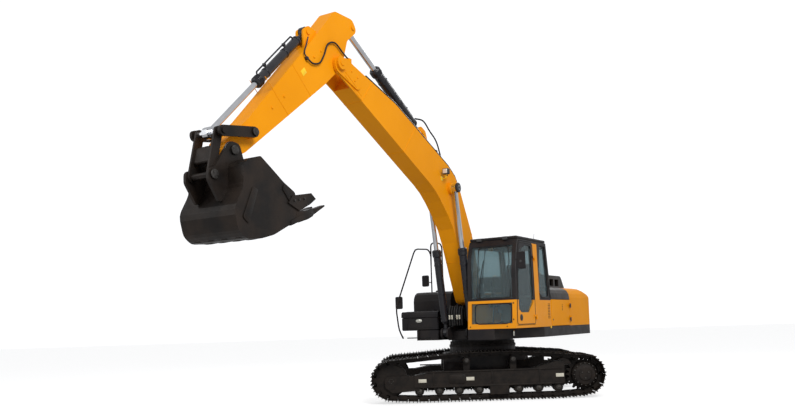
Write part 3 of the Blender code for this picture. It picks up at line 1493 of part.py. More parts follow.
def arm():
    """The arm as one box section, with the rear fork, the bucket cylinder's lugs and its bosses."""
    tip_x, tip_z = BOOM_TIP
    eye_x, eye_z = ARM_CYLINDER_EYE
    pin_x, pin_z = BUCKET_PIN
    outline = rounded(
        [
            (eye_x - 0.12, eye_z - 0.03, 0.09),
            (eye_x + 0.0, eye_z + 0.13, 0.10),
            (eye_x + 0.47, eye_z + 0.12, 0.10),
            (5.54, 5.68, 0.3),
            (pin_x - 0.33, pin_z + 0.48, 0.2),
            (pin_x + 0.11, pin_z + 0.09, 0.10),
            (pin_x + 0.02, pin_z - 0.12, 0.10),
            (pin_x - 0.28, pin_z + 0.03, 0.2),
            (5.205, 5.135, 0.2),
            (tip_x + 0.02, tip_z - 0.14, 0.11),
            (tip_x - 0.15, tip_z - 0.03, 0.10),
            (4.70, 5.74, 0.2),
            (4.62, 5.98, 0.1),
        ]
    )
    body = plate(outline, -ARM_HALF_WIDTH, ARM_HALF_WIDTH)
    body = cut(body, cross_pin(ARM_CYLINDER_EYE, -ARM_EYE_HALF, ARM_EYE_HALF, 0.21, 20))
    reach = ARM_HALF_WIDTH + 0.02
    extras = [cross_pin(ARM_CYLINDER_EYE, ARM_EYE_HALF, reach, SMALL_PIN_RADIUS)]
    extras.append(cross_pin(ARM_CYLINDER_EYE, -reach, -ARM_EYE_HALF, SMALL_PIN_RADIUS))
    lug = lug_outline(BUCKET_CYLINDER_FOOT, (5.20, 5.90), (5.62, 5.57), 0.075)
    for side in (1, -1):
        extras.append(side_plate(lug, EYE_HALF_WIDTH + GAP, 0.03, side))
    reach = EYE_HALF_WIDTH + 0.05
    extras.append(cross_pin(BUCKET_CYLINDER_FOOT, -reach, reach, SMALL_PIN_RADIUS))
    extras.append(cross_pin(GUIDE_PIN, -GUIDE_INNER + GAP, GUIDE_INNER - GAP, 0.075, HOLE_SIDES))
    reach = GUIDE_INNER + GUIDE_THICKNESS + 0.02
    extras.append(cross_pin(GUIDE_PIN, -reach, reach, SMALL_PIN_RADIUS))
    nose = BUCKET_EAR_INNER - GAP
    extras.append(cross_pin(BUCKET_PIN, -nose, nose, 0.115, HOLE_SIDES))
    pivot_half = ARM_HALF_WIDTH + MOVE_GAP - GAP
    extras.append(cross_pin(BOOM_TIP, -pivot_half, pivot_half, 0.12, HOLE_SIDES))
    body = joined(body, *extras)
    return cut(body, pin_hole(BOOM_TIP, 0.4, PIN_RADIUS), pin_hole(BUCKET_PIN, 0.4, PIN_RADIUS))


def guide_link(side):
    """One of the two links from the arm to the rod's eye, with its end of that eye's pin."""
    bar = side_plate(bar_outline(GUIDE_PIN, LINK_PIN, 0.070), GUIDE_INNER, GUIDE_THICKNESS, side)
    bar = cut(bar, pin_hole(GUIDE_PIN, 0.4, SMALL_PIN_RADIUS))
    inner_end = side * (LINK_INNER + LINK_THICKNESS + GAP)
    outer_end = side * (GUIDE_INNER + GUIDE_THICKNESS + 0.02)
    return joined(bar, cross_pin(LINK_PIN, *sorted((inner_end, outer_end)), SMALL_PIN_RADIUS))


def bar_outline(start, end, radius):
    """A link's outline: round about each pin, and straight between."""
    start, end = Vector(start), Vector(end)
    along = (end - start).normalized()
    side = Vector((-along.y, along.x))
    corners = [
        start - along * radius - side * radius,
        end + along * radius - side * radius,
        end + along * radius + side * radius,
        start - along * radius + side * radius,
    ]
    return rounded([(*corner, radius * 0.9) for corner in corners])


def bucket_link():
    """Two plates and the web between them, from the rod's eye to the bucket."""
    plates = [
        side_plate(bar_outline(LINK_PIN, BUCKET_LINK_PIN, 0.065), LINK_INNER, LINK_THICKNESS, side)
        for side in (1, -1)
    ]
    low = towards(BUCKET_LINK_PIN, LINK_PIN, 0.20)
    high = towards(BUCKET_LINK_PIN, LINK_PIN, 0.36)
    web = plate(bar_outline(low, high, 0.035), -LINK_INNER - 0.01, LINK_INNER + 0.01)
    return cut(joined(web, *plates), pin_hole(BUCKET_LINK_PIN, 0.4, SMALL_PIN_RADIUS))


def bucket():
    """An open shell with two ears, a cutting edge, teeth and side cutters."""
    pin_x, pin_z = BUCKET_PIN
    link_x, link_z = BUCKET_LINK_PIN
    outline = rounded(
        [
            (7.02, 3.68, 0.04),
            (7.21, 3.62, 0.05),
            (7.325, 3.54, 0.05),
            (7.335, 3.24, 0.25),
            (7.50, 2.95, 0.18),
            (7.43, 2.69, 0.14),
            (7.30, 2.595, 0.14),
            (7.02, 2.62, 0.3),
            (6.79, 2.685, 0.3),
            (6.235, 2.965),
            (6.37, 3.295, 0.04),
            (6.585, 3.40, 0.1),
            (6.83, 3.56, 0.1),
        ]
    )
    shell = plate(outline, -BUCKET_HALF_WIDTH, BUCKET_HALF_WIDTH)
    hollow_half = BUCKET_HALF_WIDTH - BUCKET_PLATE
    hollow = plate(
        rounded(
            [
                (7.00, 3.60),
                (7.15, 3.585, 0.03),
                (7.29, 3.50, 0.04),
                (7.295, 3.25, 0.25),
                (7.46, 2.95, 0.16),
                (7.395, 2.71, 0.12),
                (7.29, 2.635, 0.12),
                (7.03, 2.66, 0.3),
                (6.80, 2.725, 0.3),
                (6.25, 3.00),
                (6.00, 3.12),
                (6.20, 3.55),
                (6.90, 3.95),
            ]
        ),
        -hollow_half,
        hollow_half,
    )
    shell = cut(shell, hollow)
    ear = rounded(
        [
            (pin_x - 0.17, pin_z - 0.10, 0.05),
            (pin_x - 0.10, pin_z + 0.10, 0.09),
            (pin_x + 0.08, pin_z + 0.11, 0.09),
            (link_x - 0.02, link_z + 0.10, 0.08),
            (link_x + 0.09, link_z + 0.06, 0.07),
            (link_x + 0.09, link_z - 0.08, 0.07),
            (link_x - 0.10, link_z - 0.36, 0.05),
            (7.36, 3.16),
            (7.30, 3.30),
            (7.30, 3.52),
            (7.20, 3.61),
            (7.05, 3.64),
        ]
    )
    extras = [side_plate(ear, BUCKET_EAR_INNER, BUCKET_EAR_THICKNESS, side) for side in (1, -1)]
    reach = BUCKET_EAR_INNER + BUCKET_EAR_THICKNESS + 0.012
    extras.append(cross_pin(BUCKET_PIN, -reach, reach, PIN_RADIUS))
    extras.append(cross_pin(BUCKET_LINK_PIN, -reach, reach, SMALL_PIN_RADIUS))
    edge = rounded([(6.46, 2.835), (6.10, 2.985), (6.08, 3.02, 0.01), (6.20, 3.02), (6.46, 2.90)])
    extras.append(plate(edge, -BUCKET_HALF_WIDTH - 0.01, BUCKET_HALF_WIDTH + 0.01))
    tooth_side = [(6.28, 2.925), (6.03, 3.00), (5.73, 3.175), (5.735, 3.195), (6.02, 3.10), (6.22, 3.035)]
    pitch = 2 * (BUCKET_HALF_WIDTH - TOOTH_WIDTH / 2) / (BUCKET_TOOTH_COUNT - 1)
    for index in range(BUCKET_TOOTH_COUNT):
        middle = -BUCKET_HALF_WIDTH + TOOTH_WIDTH / 2 + index * pitch
        extras.append(plate(tooth_side, middle - TOOTH_WIDTH / 2, middle + TOOTH_WIDTH / 2))
    cutter = [(6.52, 3.13), (6.44, 3.24), (6.05, 3.32), (5.95, 3.25), (6.08, 3.16), (6.30, 3.05)]
    for side in (1, -1):
        extras.append(side_plate(cutter, BUCKET_HALF_WIDTH - 0.006, 0.03, side))
    return joined(shell, *extras)


def build_front():
    node(boom(), "boom", "yellow_paint", BOOM)
    node(boom_pipes(), "boom_pipes", "dark_paint", BOOM)
    for side, word in ((1, "left"), (-1, "right")):
        foot, eye, y = BOOM_CYLINDER_FOOT, BOOM_CYLINDER_EYE, side * CYLINDER_Y
        tube_piece = barrel(
            foot, eye, y, BOOM_BARREL_RADIUS, BOOM_ROD_RADIUS, BOOM_BARREL_LENGTH, SMALL_PIN_RADIUS
        )
        node(tube_piece, f"{word}_boom_barrel", "dark_paint", BOOM_BARRELS)
        inner_end = side * (CYLINDER_Y - EYE_HALF_WIDTH + GAP)
        outer_end = side * (CYLINDER_Y + EYE_HALF_WIDTH + 0.05)
        pin_ends = sorted((inner_end, outer_end))
        rod_piece = rod(foot, eye, y, BOOM_ROD_RADIUS, BOOM_ROD_LENGTH, SMALL_PIN_RADIUS, pin_ends)
        node(rod_piece, f"{word}_boom_rod", "chrome", BOOM_RODS)
    foot, eye = ARM_CYLINDER_FOOT, ARM_CYLINDER_EYE
    tube_piece = barrel(foot, eye, 0, ARM_BARREL_RADIUS, ARM_ROD_RADIUS, ARM_BARREL_LENGTH, SMALL_PIN_RADIUS)
    node(tube_piece, "arm_barrel", "dark_paint", ARM_BARREL)
    pin_ends = (GAP - ARM_EYE_HALF, ARM_EYE_HALF - GAP)
    rod_piece = rod(foot, eye, 0, ARM_ROD_RADIUS, ARM_ROD_LENGTH, SMALL_PIN_RADIUS, pin_ends)
    node(rod_piece, "arm_rod", "chrome", ARM_ROD)
    node(arm(), "arm", "yellow_paint", ARM)
    foot, eye = BUCKET_CYLINDER_FOOT, LINK_PIN
    tube_piece = barrel(
        foot, eye, 0, BUCKET_BARREL_RADIUS, BUCKET_ROD_RADIUS, BUCKET_BARREL_LENGTH, SMALL_PIN_RADIUS
    )
    node(tube_piece, "bucket_barrel", "dark_paint", BUCKET_BARREL)
    pin_ends = (GAP - LINK_INNER, LINK_INNER - GAP)
    rod_piece = rod(foot, eye, 0, BUCKET_ROD_RADIUS, BUCKET_ROD_LENGTH, SMALL_PIN_RADIUS, pin_ends)
    node(rod_piece, "bucket_rod", "chrome", BUCKET_ROD)
    for side, word in ((1, "left"), (-1, "right")):
        node(guide_link(side), f"{word}_guide_link", "dark_paint", GUIDES)
    node(bucket_link(), "bucket_link", "dark_paint", BUCKET_LINK)
    node(bucket(), "bucket", "dark_paint", BUCKET)


build_undercarriage()
build_upper()
build_cab()
build_front()
bpy.context.view_layer.update()
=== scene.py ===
import json
import math

import bpy
from mathutils import Matrix, Vector


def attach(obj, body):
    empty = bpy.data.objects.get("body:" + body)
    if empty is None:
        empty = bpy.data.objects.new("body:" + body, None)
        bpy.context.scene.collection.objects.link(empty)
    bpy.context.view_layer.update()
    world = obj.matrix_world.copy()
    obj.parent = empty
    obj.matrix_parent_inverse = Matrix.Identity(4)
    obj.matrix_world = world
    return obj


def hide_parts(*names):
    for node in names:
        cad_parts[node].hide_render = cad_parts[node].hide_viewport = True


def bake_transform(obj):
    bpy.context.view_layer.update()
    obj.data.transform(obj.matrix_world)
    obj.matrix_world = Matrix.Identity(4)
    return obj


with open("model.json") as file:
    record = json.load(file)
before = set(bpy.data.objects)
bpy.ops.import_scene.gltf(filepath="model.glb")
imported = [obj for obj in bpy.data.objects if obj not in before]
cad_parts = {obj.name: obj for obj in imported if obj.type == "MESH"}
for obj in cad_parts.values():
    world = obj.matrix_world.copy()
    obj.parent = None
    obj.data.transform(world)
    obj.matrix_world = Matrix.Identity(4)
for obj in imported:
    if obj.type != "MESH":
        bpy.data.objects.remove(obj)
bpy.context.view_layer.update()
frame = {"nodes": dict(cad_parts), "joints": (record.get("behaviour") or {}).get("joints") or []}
print("frame loaded")

# The machine's own axes, taken from its joints: x forwards, y to the operator's left
jointByName = {joint["name"]: joint for joint in frame["joints"]}
slewPoint = Vector(jointByName["slew"]["pos_m"])
leftWay = -Vector(jointByName["boom"]["axis"])
forwardWay = leftWay.cross(Vector((0, 0, 1)))
upperPlace = Matrix(
    (
        (forwardWay.x, leftWay.x, 0, slewPoint.x),
        (forwardWay.y, leftWay.y, 0, slewPoint.y),
        (0, 0, 1, 0),
        (0, 0, 0, 1),
    )
)
trackPlace = Matrix.Translation((slewPoint.x, slewPoint.y, 0)) @ Matrix.Rotation(math.pi, 4, "Z")
places = {"upper": upperPlace, "tracks": trackPlace}


def pinPoint(jointName):
    spot = upperPlace.inverted() @ Vector(jointByName[jointName]["pos_m"])
    return Vector((spot.x, spot.z))


bucketPin = pinPoint("bucket")
guidePin = pinPoint("guide_links")
bucketLinkPin = pinPoint("bucket_link")


# Camera, floor and light
view = {
    "place": (-1.3123, -16.0423, 1.4869),  # from the slew axis
    "yaw": -0.0146,
    "pitch": 0.0717,
    "roll": -0.0325,
    "lens": 35.17,
    "shiftX": -0.0377,
    "shiftY": 0.0755,
}


def makeCamera():
    yaw, pitch, roll = view["yaw"], view["pitch"], view["roll"]
    ahead = Vector((-math.sin(yaw) * math.cos(pitch), math.cos(yaw) * math.cos(pitch), math.sin(pitch)))
    right = Vector((math.cos(yaw), math.sin(yaw), 0))
    up = right.cross(ahead)
    tiltedRight = right * math.cos(roll) + up * math.sin(roll)
    tiltedUp = up * math.cos(roll) - right * math.sin(roll)
    data = bpy.data.cameras.new("camera")
    data.lens = view["lens"]
    data.sensor_width = 36
    data.shift_x = view["shiftX"]
    data.shift_y = view["shiftY"]
    data.clip_end = 200
    camera = bpy.data.objects.new("camera", data)
    bpy.context.scene.collection.objects.link(camera)
    turn = Matrix((tiltedRight, tiltedUp, -ahead)).transposed().to_4x4()
    place = Vector(view["place"]) + Vector((slewPoint.x, slewPoint.y, 0))
    camera.matrix_world = Matrix.Translation(place) @ turn
    bpy.context.scene.camera = camera


studio = {
    "floorColour": (0.50, 0.50, 0.50, 1),
    "skyColour": (0.97, 0.98, 1.0, 1),
    "skyStrength": 0.58,
    "backdropStrength": 1.1,
    "floorGlow": 1.3,
    "keyPlace": (5.0, -14.0, 13.0),
    "keyPower": 1900,
    "keySize": 7,
    "fillPlace": (-12.0, -9.0, 7.0),
    "fillPower": 180,
    "fillSize": 8,
    "backPlace": (3.0, 12.0, 10.0),
    "backPower": 420,
    "backSize": 8,
}


def areaLight(name, place, power, size):
    data = bpy.data.lights.new(name, "AREA")
    data.energy = power
    data.size = size
    lamp = bpy.data.objects.new(name, data)
    bpy.context.scene.collection.objects.link(lamp)
    aim = Vector((0, 0, 2.2)) - Vector(place)
    lamp.matrix_world = Matrix.Translation(place) @ aim.to_track_quat("-Z", "Y").to_matrix().to_4x4()


def makeStudio():
    bpy.ops.mesh.primitive_plane_add(size=160, location=(0, 0, -0.002))
    floor = bpy.context.active_object
    floor.name = "studioFloor"
    material = bpy.data.materials.new("floorPaper")
    material.use_nodes = True
    shader = material.node_tree.nodes["Principled BSDF"]
    shader.inputs["Base Color"].default_value = studio["floorColour"]
    shader.inputs["Roughness"].default_value = 0.9
    floor.data.materials.append(material)
    rays = material.node_tree.nodes.new("ShaderNodeLightPath")
    glow = rangeNode(material.node_tree, rays.outputs["Is Camera Ray"], 0, 1, 0, studio["floorGlow"])
    material.node_tree.links.new(glow, shader.inputs["Emission Strength"])
    shader.inputs["Emission Color"].default_value = studio["floorColour"]
    world = bpy.data.worlds.new("studioSky")
    bpy.context.scene.world = world
    world.use_nodes = True
    background = world.node_tree.nodes["Background"]
    background.inputs["Color"].default_value = studio["skyColour"]
    rays = world.node_tree.nodes.new("ShaderNodeLightPath")
    seen = rays.outputs["Is Camera Ray"]
    strength = rangeNode(world.node_tree, seen, 0, 1, studio["skyStrength"], studio["backdropStrength"])
    world.node_tree.links.new(strength, background.inputs["Strength"])
    areaLight("keyLight", studio["keyPlace"], studio["keyPower"], studio["keySize"])
    areaLight("fillLight", studio["fillPlace"], studio["fillPower"], studio["fillSize"])
    areaLight("backLight", studio["backPlace"], studio["backPower"], studio["backSize"])
    bpy.context.scene.view_settings.view_transform = "Standard"


# Finishes
plainFinish = {  # what a finish has where its own entry says nothing
    "coat": 0, "metal": 0, "gloss": 0.25, "dust": (0.1, 0.1, 0.1), "dustHigh": 0.5, "dustMost": 0,
}
finishes = {  # sizes of patches and grain are noise scales; dust fades out at dustHigh metres
    "bodyPaint": {
        "colour": (0.88, 0.325, 0.004), "shade": (0.82, 0.295, 0.003), "patch": 0.9, "rough": (0.40, 0.52),
        "grain": 260, "bump": 0.02, "coat": 0.03, "gloss": 0.07, "dust": (0.45, 0.20, 0.03),
        "dustHigh": 1.6, "dustMost": 0.10,
    },
    "darkPaint": {
        "colour": (0.013, 0.012, 0.014), "shade": (0.024, 0.020, 0.019), "patch": 2.0, "rough": (0.30, 0.48),
        "grain": 300, "bump": 0.03, "coat": 0.08, "gloss": 0.15, "dust": (0.10, 0.075, 0.055),
        "dustHigh": 1.5, "dustMost": 0.30,
    },
    "coverPaint": {
        "colour": (0.030, 0.022, 0.017), "shade": (0.020, 0.016, 0.014), "patch": 1.6, "rough": (0.34, 0.50),
        "grain": 280, "bump": 0.04, "coat": 0.15, "dust": (0.12, 0.09, 0.06),
        "dustHigh": 1.5, "dustMost": 0.25,
    },
    "trackSteel": {
        "colour": (0.008, 0.006, 0.005), "shade": (0.018, 0.013, 0.010), "patch": 9.0, "rough": (0.42, 0.70),
        "grain": 120, "bump": 0.14, "metal": 0.15, "dust": (0.040, 0.028, 0.019),
        "dustHigh": 0.9, "dustMost": 0.30,
    },
    "bucketSteel": {
        "colour": (0.012, 0.010, 0.009), "shade": (0.028, 0.019, 0.014), "patch": 3.2, "rough": (0.30, 0.58),
        "grain": 150, "bump": 0.08, "coat": 0.10, "metal": 0.35, "dust": (0.12, 0.08, 0.05),
        "dustHigh": 3.0, "dustMost": 0.10,
    },
    "cylinderPaint": {
        "colour": (0.012, 0.012, 0.016), "shade": (0.020, 0.019, 0.022), "patch": 5.0, "rough": (0.22, 0.36),
        "grain": 320, "bump": 0.02, "coat": 0.4, "dust": (0.08, 0.06, 0.05), "dustHigh": 1.5, "dustMost": 0.1,
    },
    "chromeRod": {
        "colour": (0.74, 0.75, 0.77), "shade": (0.66, 0.67, 0.70), "patch": 12.0, "rough": (0.10, 0.20),
        "grain": 500, "bump": 0.01, "metal": 1.0,
    },
    "hoseRubber": {
        "colour": (0.012, 0.012, 0.013), "shade": (0.022, 0.021, 0.020), "patch": 25.0, "rough": (0.45, 0.62),
        "grain": 700, "bump": 0.15, "dust": (0.08, 0.07, 0.06), "dustHigh": 1.5, "dustMost": 0.2,
    },
    "seatFabric": {
        "colour": (0.035, 0.037, 0.045), "shade": (0.060, 0.060, 0.070), "patch": 14.0, "rough": (0.80, 0.95),
        "grain": 900, "bump": 0.35,
    },
    "cabPlastic": {
        "colour": (0.045, 0.046, 0.050), "shade": (0.060, 0.058, 0.056), "patch": 8.0, "rough": (0.45, 0.60),
        "grain": 600, "bump": 0.12,
    },
    "blankPlate": {
        "colour": (0.72, 0.69, 0.58), "shade": (0.62, 0.58, 0.47), "patch": 18.0, "rough": (0.35, 0.5),
        "grain": 500, "bump": 0.03, "coat": 0.1, "dust": (0.3, 0.25, 0.2), "dustHigh": 0.9, "dustMost": 0.3,
    },
    "warningPlate": {
        "colour": (0.95, 0.62, 0.02), "shade": (0.88, 0.55, 0.02), "patch": 18.0, "rough": (0.3, 0.4),
        "grain": 500, "bump": 0.02, "coat": 0.2, "dust": (0.3, 0.25, 0.2), "dustHigh": 0.9, "dustMost": 0.1,
    },
    "boltSteel": {
        "colour": (0.10, 0.095, 0.09), "shade": (0.055, 0.05, 0.045), "patch": 30.0, "rough": (0.35, 0.5),
        "grain": 600, "bump": 0.05, "metal": 0.85, "dust": (0.1, 0.08, 0.06),
        "dustHigh": 1.0, "dustMost": 0.3,
    },
    "mirrorFace": {
        "colour": (0.75, 0.74, 0.66), "shade": (0.70, 0.69, 0.62), "patch": 6.0, "rough": (0.06, 0.10),
        "grain": 500, "bump": 0.0, "metal": 0.9,
    },
    "lampLens": {
        "colour": (0.80, 0.80, 0.76), "shade": (0.70, 0.70, 0.66), "patch": 60.0, "rough": (0.08, 0.16),
        "grain": 300, "bump": 0.20, "coat": 0.6, "metal": 0.2,
    },
    "grilleBlack": {
        "colour": (0.006, 0.006, 0.007), "shade": (0.014, 0.013, 0.012), "patch": 20.0, "rough": (0.55, 0.70),
        "grain": 400, "bump": 0.10, "dust": (0.05, 0.04, 0.03), "dustHigh": 2.5, "dustMost": 0.3,
    },
}


def mathNode(tree, operation, first, second):
    node = tree.nodes.new("ShaderNodeMath")
    node.operation = operation
    for socket, value in zip(node.inputs, (first, second)):
        if isinstance(value, (int, float)):
            socket.default_value = value
        else:
            tree.links.new(value, socket)
    return node.outputs[0]


def mixColour(tree, share, first, second):
    node = tree.nodes.new("ShaderNodeMix")
    node.data_type = "RGBA"
    for socket, value in ((node.inputs[0], share), (node.inputs[6], first), (node.inputs[7], second)):
        if isinstance(value, tuple):
            socket.default_value = (*value, 1)
        else:
            tree.links.new(value, socket)
    return node.outputs[2]


def rangeNode(tree, value, low, high, lowOut, highOut):
    node = tree.nodes.new("ShaderNodeMapRange")
    tree.links.new(value, node.inputs["Value"])
    for name, amount in (("From Min", low), ("From Max", high), ("To Min", lowOut), ("To Max", highOut)):
        node.inputs[name].default_value = amount
    return node.outputs["Result"]


def noiseNode(tree, place, scale, detail):
    node = tree.nodes.new("ShaderNodeTexNoise")
    node.inputs["Scale"].default_value = scale
    node.inputs["Detail"].default_value = detail
    tree.links.new(place, node.inputs["Vector"])
    return node.outputs["Fac"]


def coloured(tree, look, place):
    patches = rangeNode(tree, noiseNode(tree, place, look["patch"], 4), 0.35, 0.65, 0, 1)
    colour = mixColour(tree, patches, look["colour"], look["shade"])
    split = tree.nodes.new("ShaderNodeSeparateXYZ")
    tree.links.new(place, split.inputs[0])
    height = rangeNode(tree, split.outputs["Z"], 0, look["dustHigh"], look["dustMost"], 0)
    specks = rangeNode(tree, noiseNode(tree, place, 7, 6), 0.40, 0.62, 0, 1)
    return mixColour(tree, mathNode(tree, "MULTIPLY", height, specks), colour, look["dust"])


def makeFinish(name, lower=None):
    look = {**plainFinish, **finishes[name]}
    material = bpy.data.materials.new(name if lower is None else name + "Split")
    material.use_nodes = True
    tree = material.node_tree
    shader = tree.nodes["Principled BSDF"]
    place = tree.nodes.new("ShaderNodeTexCoord").outputs["Object"]
    colour = coloured(tree, look, place)
    if lower is not None:
        lowerLook = {**plainFinish, **finishes[lower]}
        colour = mixColour(tree, cabMask(tree, place), colour, coloured(tree, lowerLook, place))
    tree.links.new(colour, shader.inputs["Base Color"])
    rough = rangeNode(tree, noiseNode(tree, place, look["patch"] * 3, 5), 0.3, 0.7, *look["rough"])
    tree.links.new(rough, shader.inputs["Roughness"])
    shader.inputs["Metallic"].default_value = look["metal"]
    shader.inputs["Coat Weight"].default_value = look["coat"]
    shader.inputs["Coat Roughness"].default_value = 0.12
    shader.inputs["Specular IOR Level"].default_value = look["gloss"]
    bump = tree.nodes.new("ShaderNodeBump")
    bump.inputs["Strength"].default_value = look["bump"]
    bump.inputs["Distance"].default_value = 0.002
    tree.links.new(noiseNode(tree, place, look["grain"], 2), bump.inputs["Height"])
    tree.links.new(bump.outputs["Normal"], shader.inputs["Normal"])
    return material


cabSplit = {"waist": 1.862, "pillarTop": 2.952, "pillarRear": 0.179, "pillarFront": 0.420, "lean": 0.052}


def cabMask(tree, place):
    away = tree.nodes.new("ShaderNodeVectorMath")
    away.operation = "DOT_PRODUCT"
    tree.links.new(place, away.inputs[0])
    away.inputs[1].default_value = forwardWay
    start = slewPoint.x * forwardWay.x + slewPoint.y * forwardWay.y
    along = mathNode(tree, "SUBTRACT", away.outputs["Value"], start)
    split = tree.nodes.new("ShaderNodeSeparateXYZ")
    tree.links.new(place, split.inputs[0])
    height = split.outputs["Z"]
    low = mathNode(tree, "LESS_THAN", height, cabSplit["waist"])
    overWaist = mathNode(tree, "SUBTRACT", height, cabSplit["waist"])
    leaned = mathNode(tree, "MULTIPLY", overWaist, cabSplit["lean"])
    upright = mathNode(tree, "SUBTRACT", along, leaned)
    pillar = mathNode(tree, "GREATER_THAN", upright, cabSplit["pillarRear"])
    pillar = mathNode(tree, "MULTIPLY", pillar, mathNode(tree, "LESS_THAN", upright, cabSplit["pillarFront"]))
    pillar = mathNode(tree, "MULTIPLY", pillar, mathNode(tree, "LESS_THAN", height, cabSplit["pillarTop"]))
    return mathNode(tree, "MAXIMUM", low, pillar)


def makeGlass():
    material = bpy.data.materials.new("cabGlass")
    material.use_nodes = True
    tree = material.node_tree
    shader = tree.nodes["Principled BSDF"]
    place = tree.nodes.new("ShaderNodeTexCoord").outputs["Object"]
    tint = rangeNode(tree, noiseNode(tree, place, 1.5, 3), 0.3, 0.7, 0, 1)
    tree.links.new(mixColour(tree, tint, (0.50, 0.62, 0.64), (0.42, 0.55, 0.58)), shader.inputs["Base Color"])
    smear = rangeNode(tree, noiseNode(tree, place, 5, 5), 0.3, 0.7, 0.01, 0.05)
    tree.links.new(smear, shader.inputs["Roughness"])
    shader.inputs["Transmission Weight"].default_value = 0.92
    shader.inputs["IOR"].default_value = 1.2
    return material


makeCamera()
makeStudio()
print("camera and studio made")
materials = {name: makeFinish(name) for name in finishes}
materials["cabPaint"] = makeFinish("darkPaint", "bodyPaint")
materials["glass"] = makeGlass()
nodeFinish = {
    "bodyPaint": ["boom", "arm", "counterweight", "left_side_door", "right_side_door"],
    "darkPaint": [
        "upper_frame", "tool_box", "tool_box_lid", "fuel_tank", "hydraulic_tank", "handrails", "lower_frame",
        "cab_roof", "left_mirror",
    ],
    "coverPaint": ["cooler_cover", "engine_hood"],
    "cabPaint": ["cab_front_frame", "cab_left_wall", "cab_door", "cab_right_wall", "cab_rear_wall"],
    "trackSteel": [
        "left_track", "right_track", "left_idler", "right_idler", "slew_ring", "engine_block", "exhaust",
        "left_track_frame", "right_track_frame", "left_sprocket", "right_sprocket",
    ],
    "bucketSteel": ["bucket", "bucket_link", "left_guide_link", "right_guide_link"],
    "cylinderPaint": ["left_boom_barrel", "right_boom_barrel", "arm_barrel", "bucket_barrel", "boom_pipes"],
    "chromeRod": ["left_boom_rod", "right_boom_rod", "arm_rod", "bucket_rod"],
    "glass": [
        "cab_door_glass", "quarter_glass", "right_glass", "windshield", "lower_windshield", "rear_glass",
    ],
    "seatFabric": ["seat_cushion", "seat_back"],
    "cabPlastic": ["seat_stand"],
}
for finish, names in nodeFinish.items():
    for name in names:
        data = frame["nodes"][name].data
        data.materials.clear()
        data.materials.append(materials[finish])
print("finishes made")


# Ways to make a piece
def deselect():
    if bpy.context.mode != "OBJECT":
        bpy.ops.object.mode_set(mode="OBJECT")
    bpy.ops.object.select_all(action="DESELECT")


def onlyActive(obj):
    deselect()
    obj.select_set(True)
    bpy.context.view_layer.objects.active = obj


def softenEdges(obj, width, segments=2):
    onlyActive(obj)
    bevel = obj.modifiers.new("edges", "BEVEL")
    bevel.width = width
    bevel.segments = segments
    bevel.limit_method = "ANGLE"
    bevel.angle_limit = math.radians(32)
    bpy.ops.object.modifier_apply(modifier=bevel.name)
    return obj


def block(low, high, edge=0.004, segments=2):
    low, high = Vector(low), Vector(high)
    deselect()
    bpy.ops.mesh.primitive_cube_add(size=1, location=(low + high) / 2)
    obj = bpy.context.active_object
    obj.scale = high - low
    bpy.ops.object.transform_apply(location=True, rotation=True, scale=True)
    return softenEdges(obj, edge, segments) if edge else obj


def turnedPin(start, end, radius, sides=24, edge=0.003):
    start, end = Vector(start), Vector(end)
    way = end - start
    deselect()
    bpy.ops.mesh.primitive_cylinder_add(
        vertices=sides,
        radius=radius,
        depth=way.length,
        location=(start + end) / 2,
        rotation=way.to_track_quat("Z", "Y").to_euler(),
    )
    obj = bpy.context.active_object
    bpy.ops.object.transform_apply(location=True, rotation=True, scale=True)
    return softenEdges(obj, edge) if edge else obj


def crossPin(spot, low, high, radius, sides=24, edge=0.004):
    return turnedPin((spot[0], low, spot[1]), (spot[0], high, spot[1]), radius, sides, edge)


def uprightPin(spot, low, high, radius, sides=24, edge=0.003):
    return turnedPin(spot + Vector((0, 0, low)), spot + Vector((0, 0, high)), radius, sides, edge)


def frontPin(spot, back, ahead, radius, sides=24, edge=0.003):
    return turnedPin(spot - Vector((back, 0, 0)), spot + Vector((ahead, 0, 0)), radius, sides, edge)


sideways = {
    "side": Matrix(((1, 0, 0), (0, 0, -1), (0, 1, 0))),
    "front": Matrix(((0, 0, 1), (1, 0, 0), (0, 1, 0))),
    "top": Matrix(((1, 0, 0), (0, 1, 0), (0, 0, 1))),
}


def cutPlate(outline, low, high, facing="side", edge=0.003):
    deselect()
    bpy.ops.mesh.primitive_circle_add(vertices=len(outline), radius=1, fill_type="NGON")
    obj = bpy.context.active_object
    for vertex, point in zip(obj.data.vertices, outline):
        vertex.co = (point[0], point[1], 0)
    bpy.ops.object.mode_set(mode="EDIT")
    bpy.ops.mesh.select_all(action="SELECT")
    bpy.ops.mesh.extrude_region_move(TRANSFORM_OT_translate={"value": (0, 0, high - low)})
    bpy.ops.mesh.select_all(action="SELECT")
    bpy.ops.mesh.normals_make_consistent(inside=False)
    bpy.ops.object.mode_set(mode="OBJECT")
    start = -high if facing == "side" else low
    obj.data.transform(sideways[facing].to_4x4() @ Matrix.Translation((0, 0, start)))
    return softenEdges(obj, edge) if edge else obj


def tube(points, radius, roundness=3, closed=False):
    curve = bpy.data.curves.new("line", "CURVE")
    curve.dimensions = "3D"
    curve.bevel_depth = radius
    curve.bevel_resolution = roundness
    curve.use_fill_caps = not closed
    spline = curve.splines.new("POLY")
    spline.points.add(len(points) - 1)
    for point, place in zip(spline.points, points):
        point.co = (*place, 1)
    spline.use_cyclic_u = closed
    obj = bpy.data.objects.new("line", curve)
    bpy.context.scene.collection.objects.link(obj)
    onlyActive(obj)
    bpy.ops.object.convert(target="MESH")
    return bpy.context.active_object


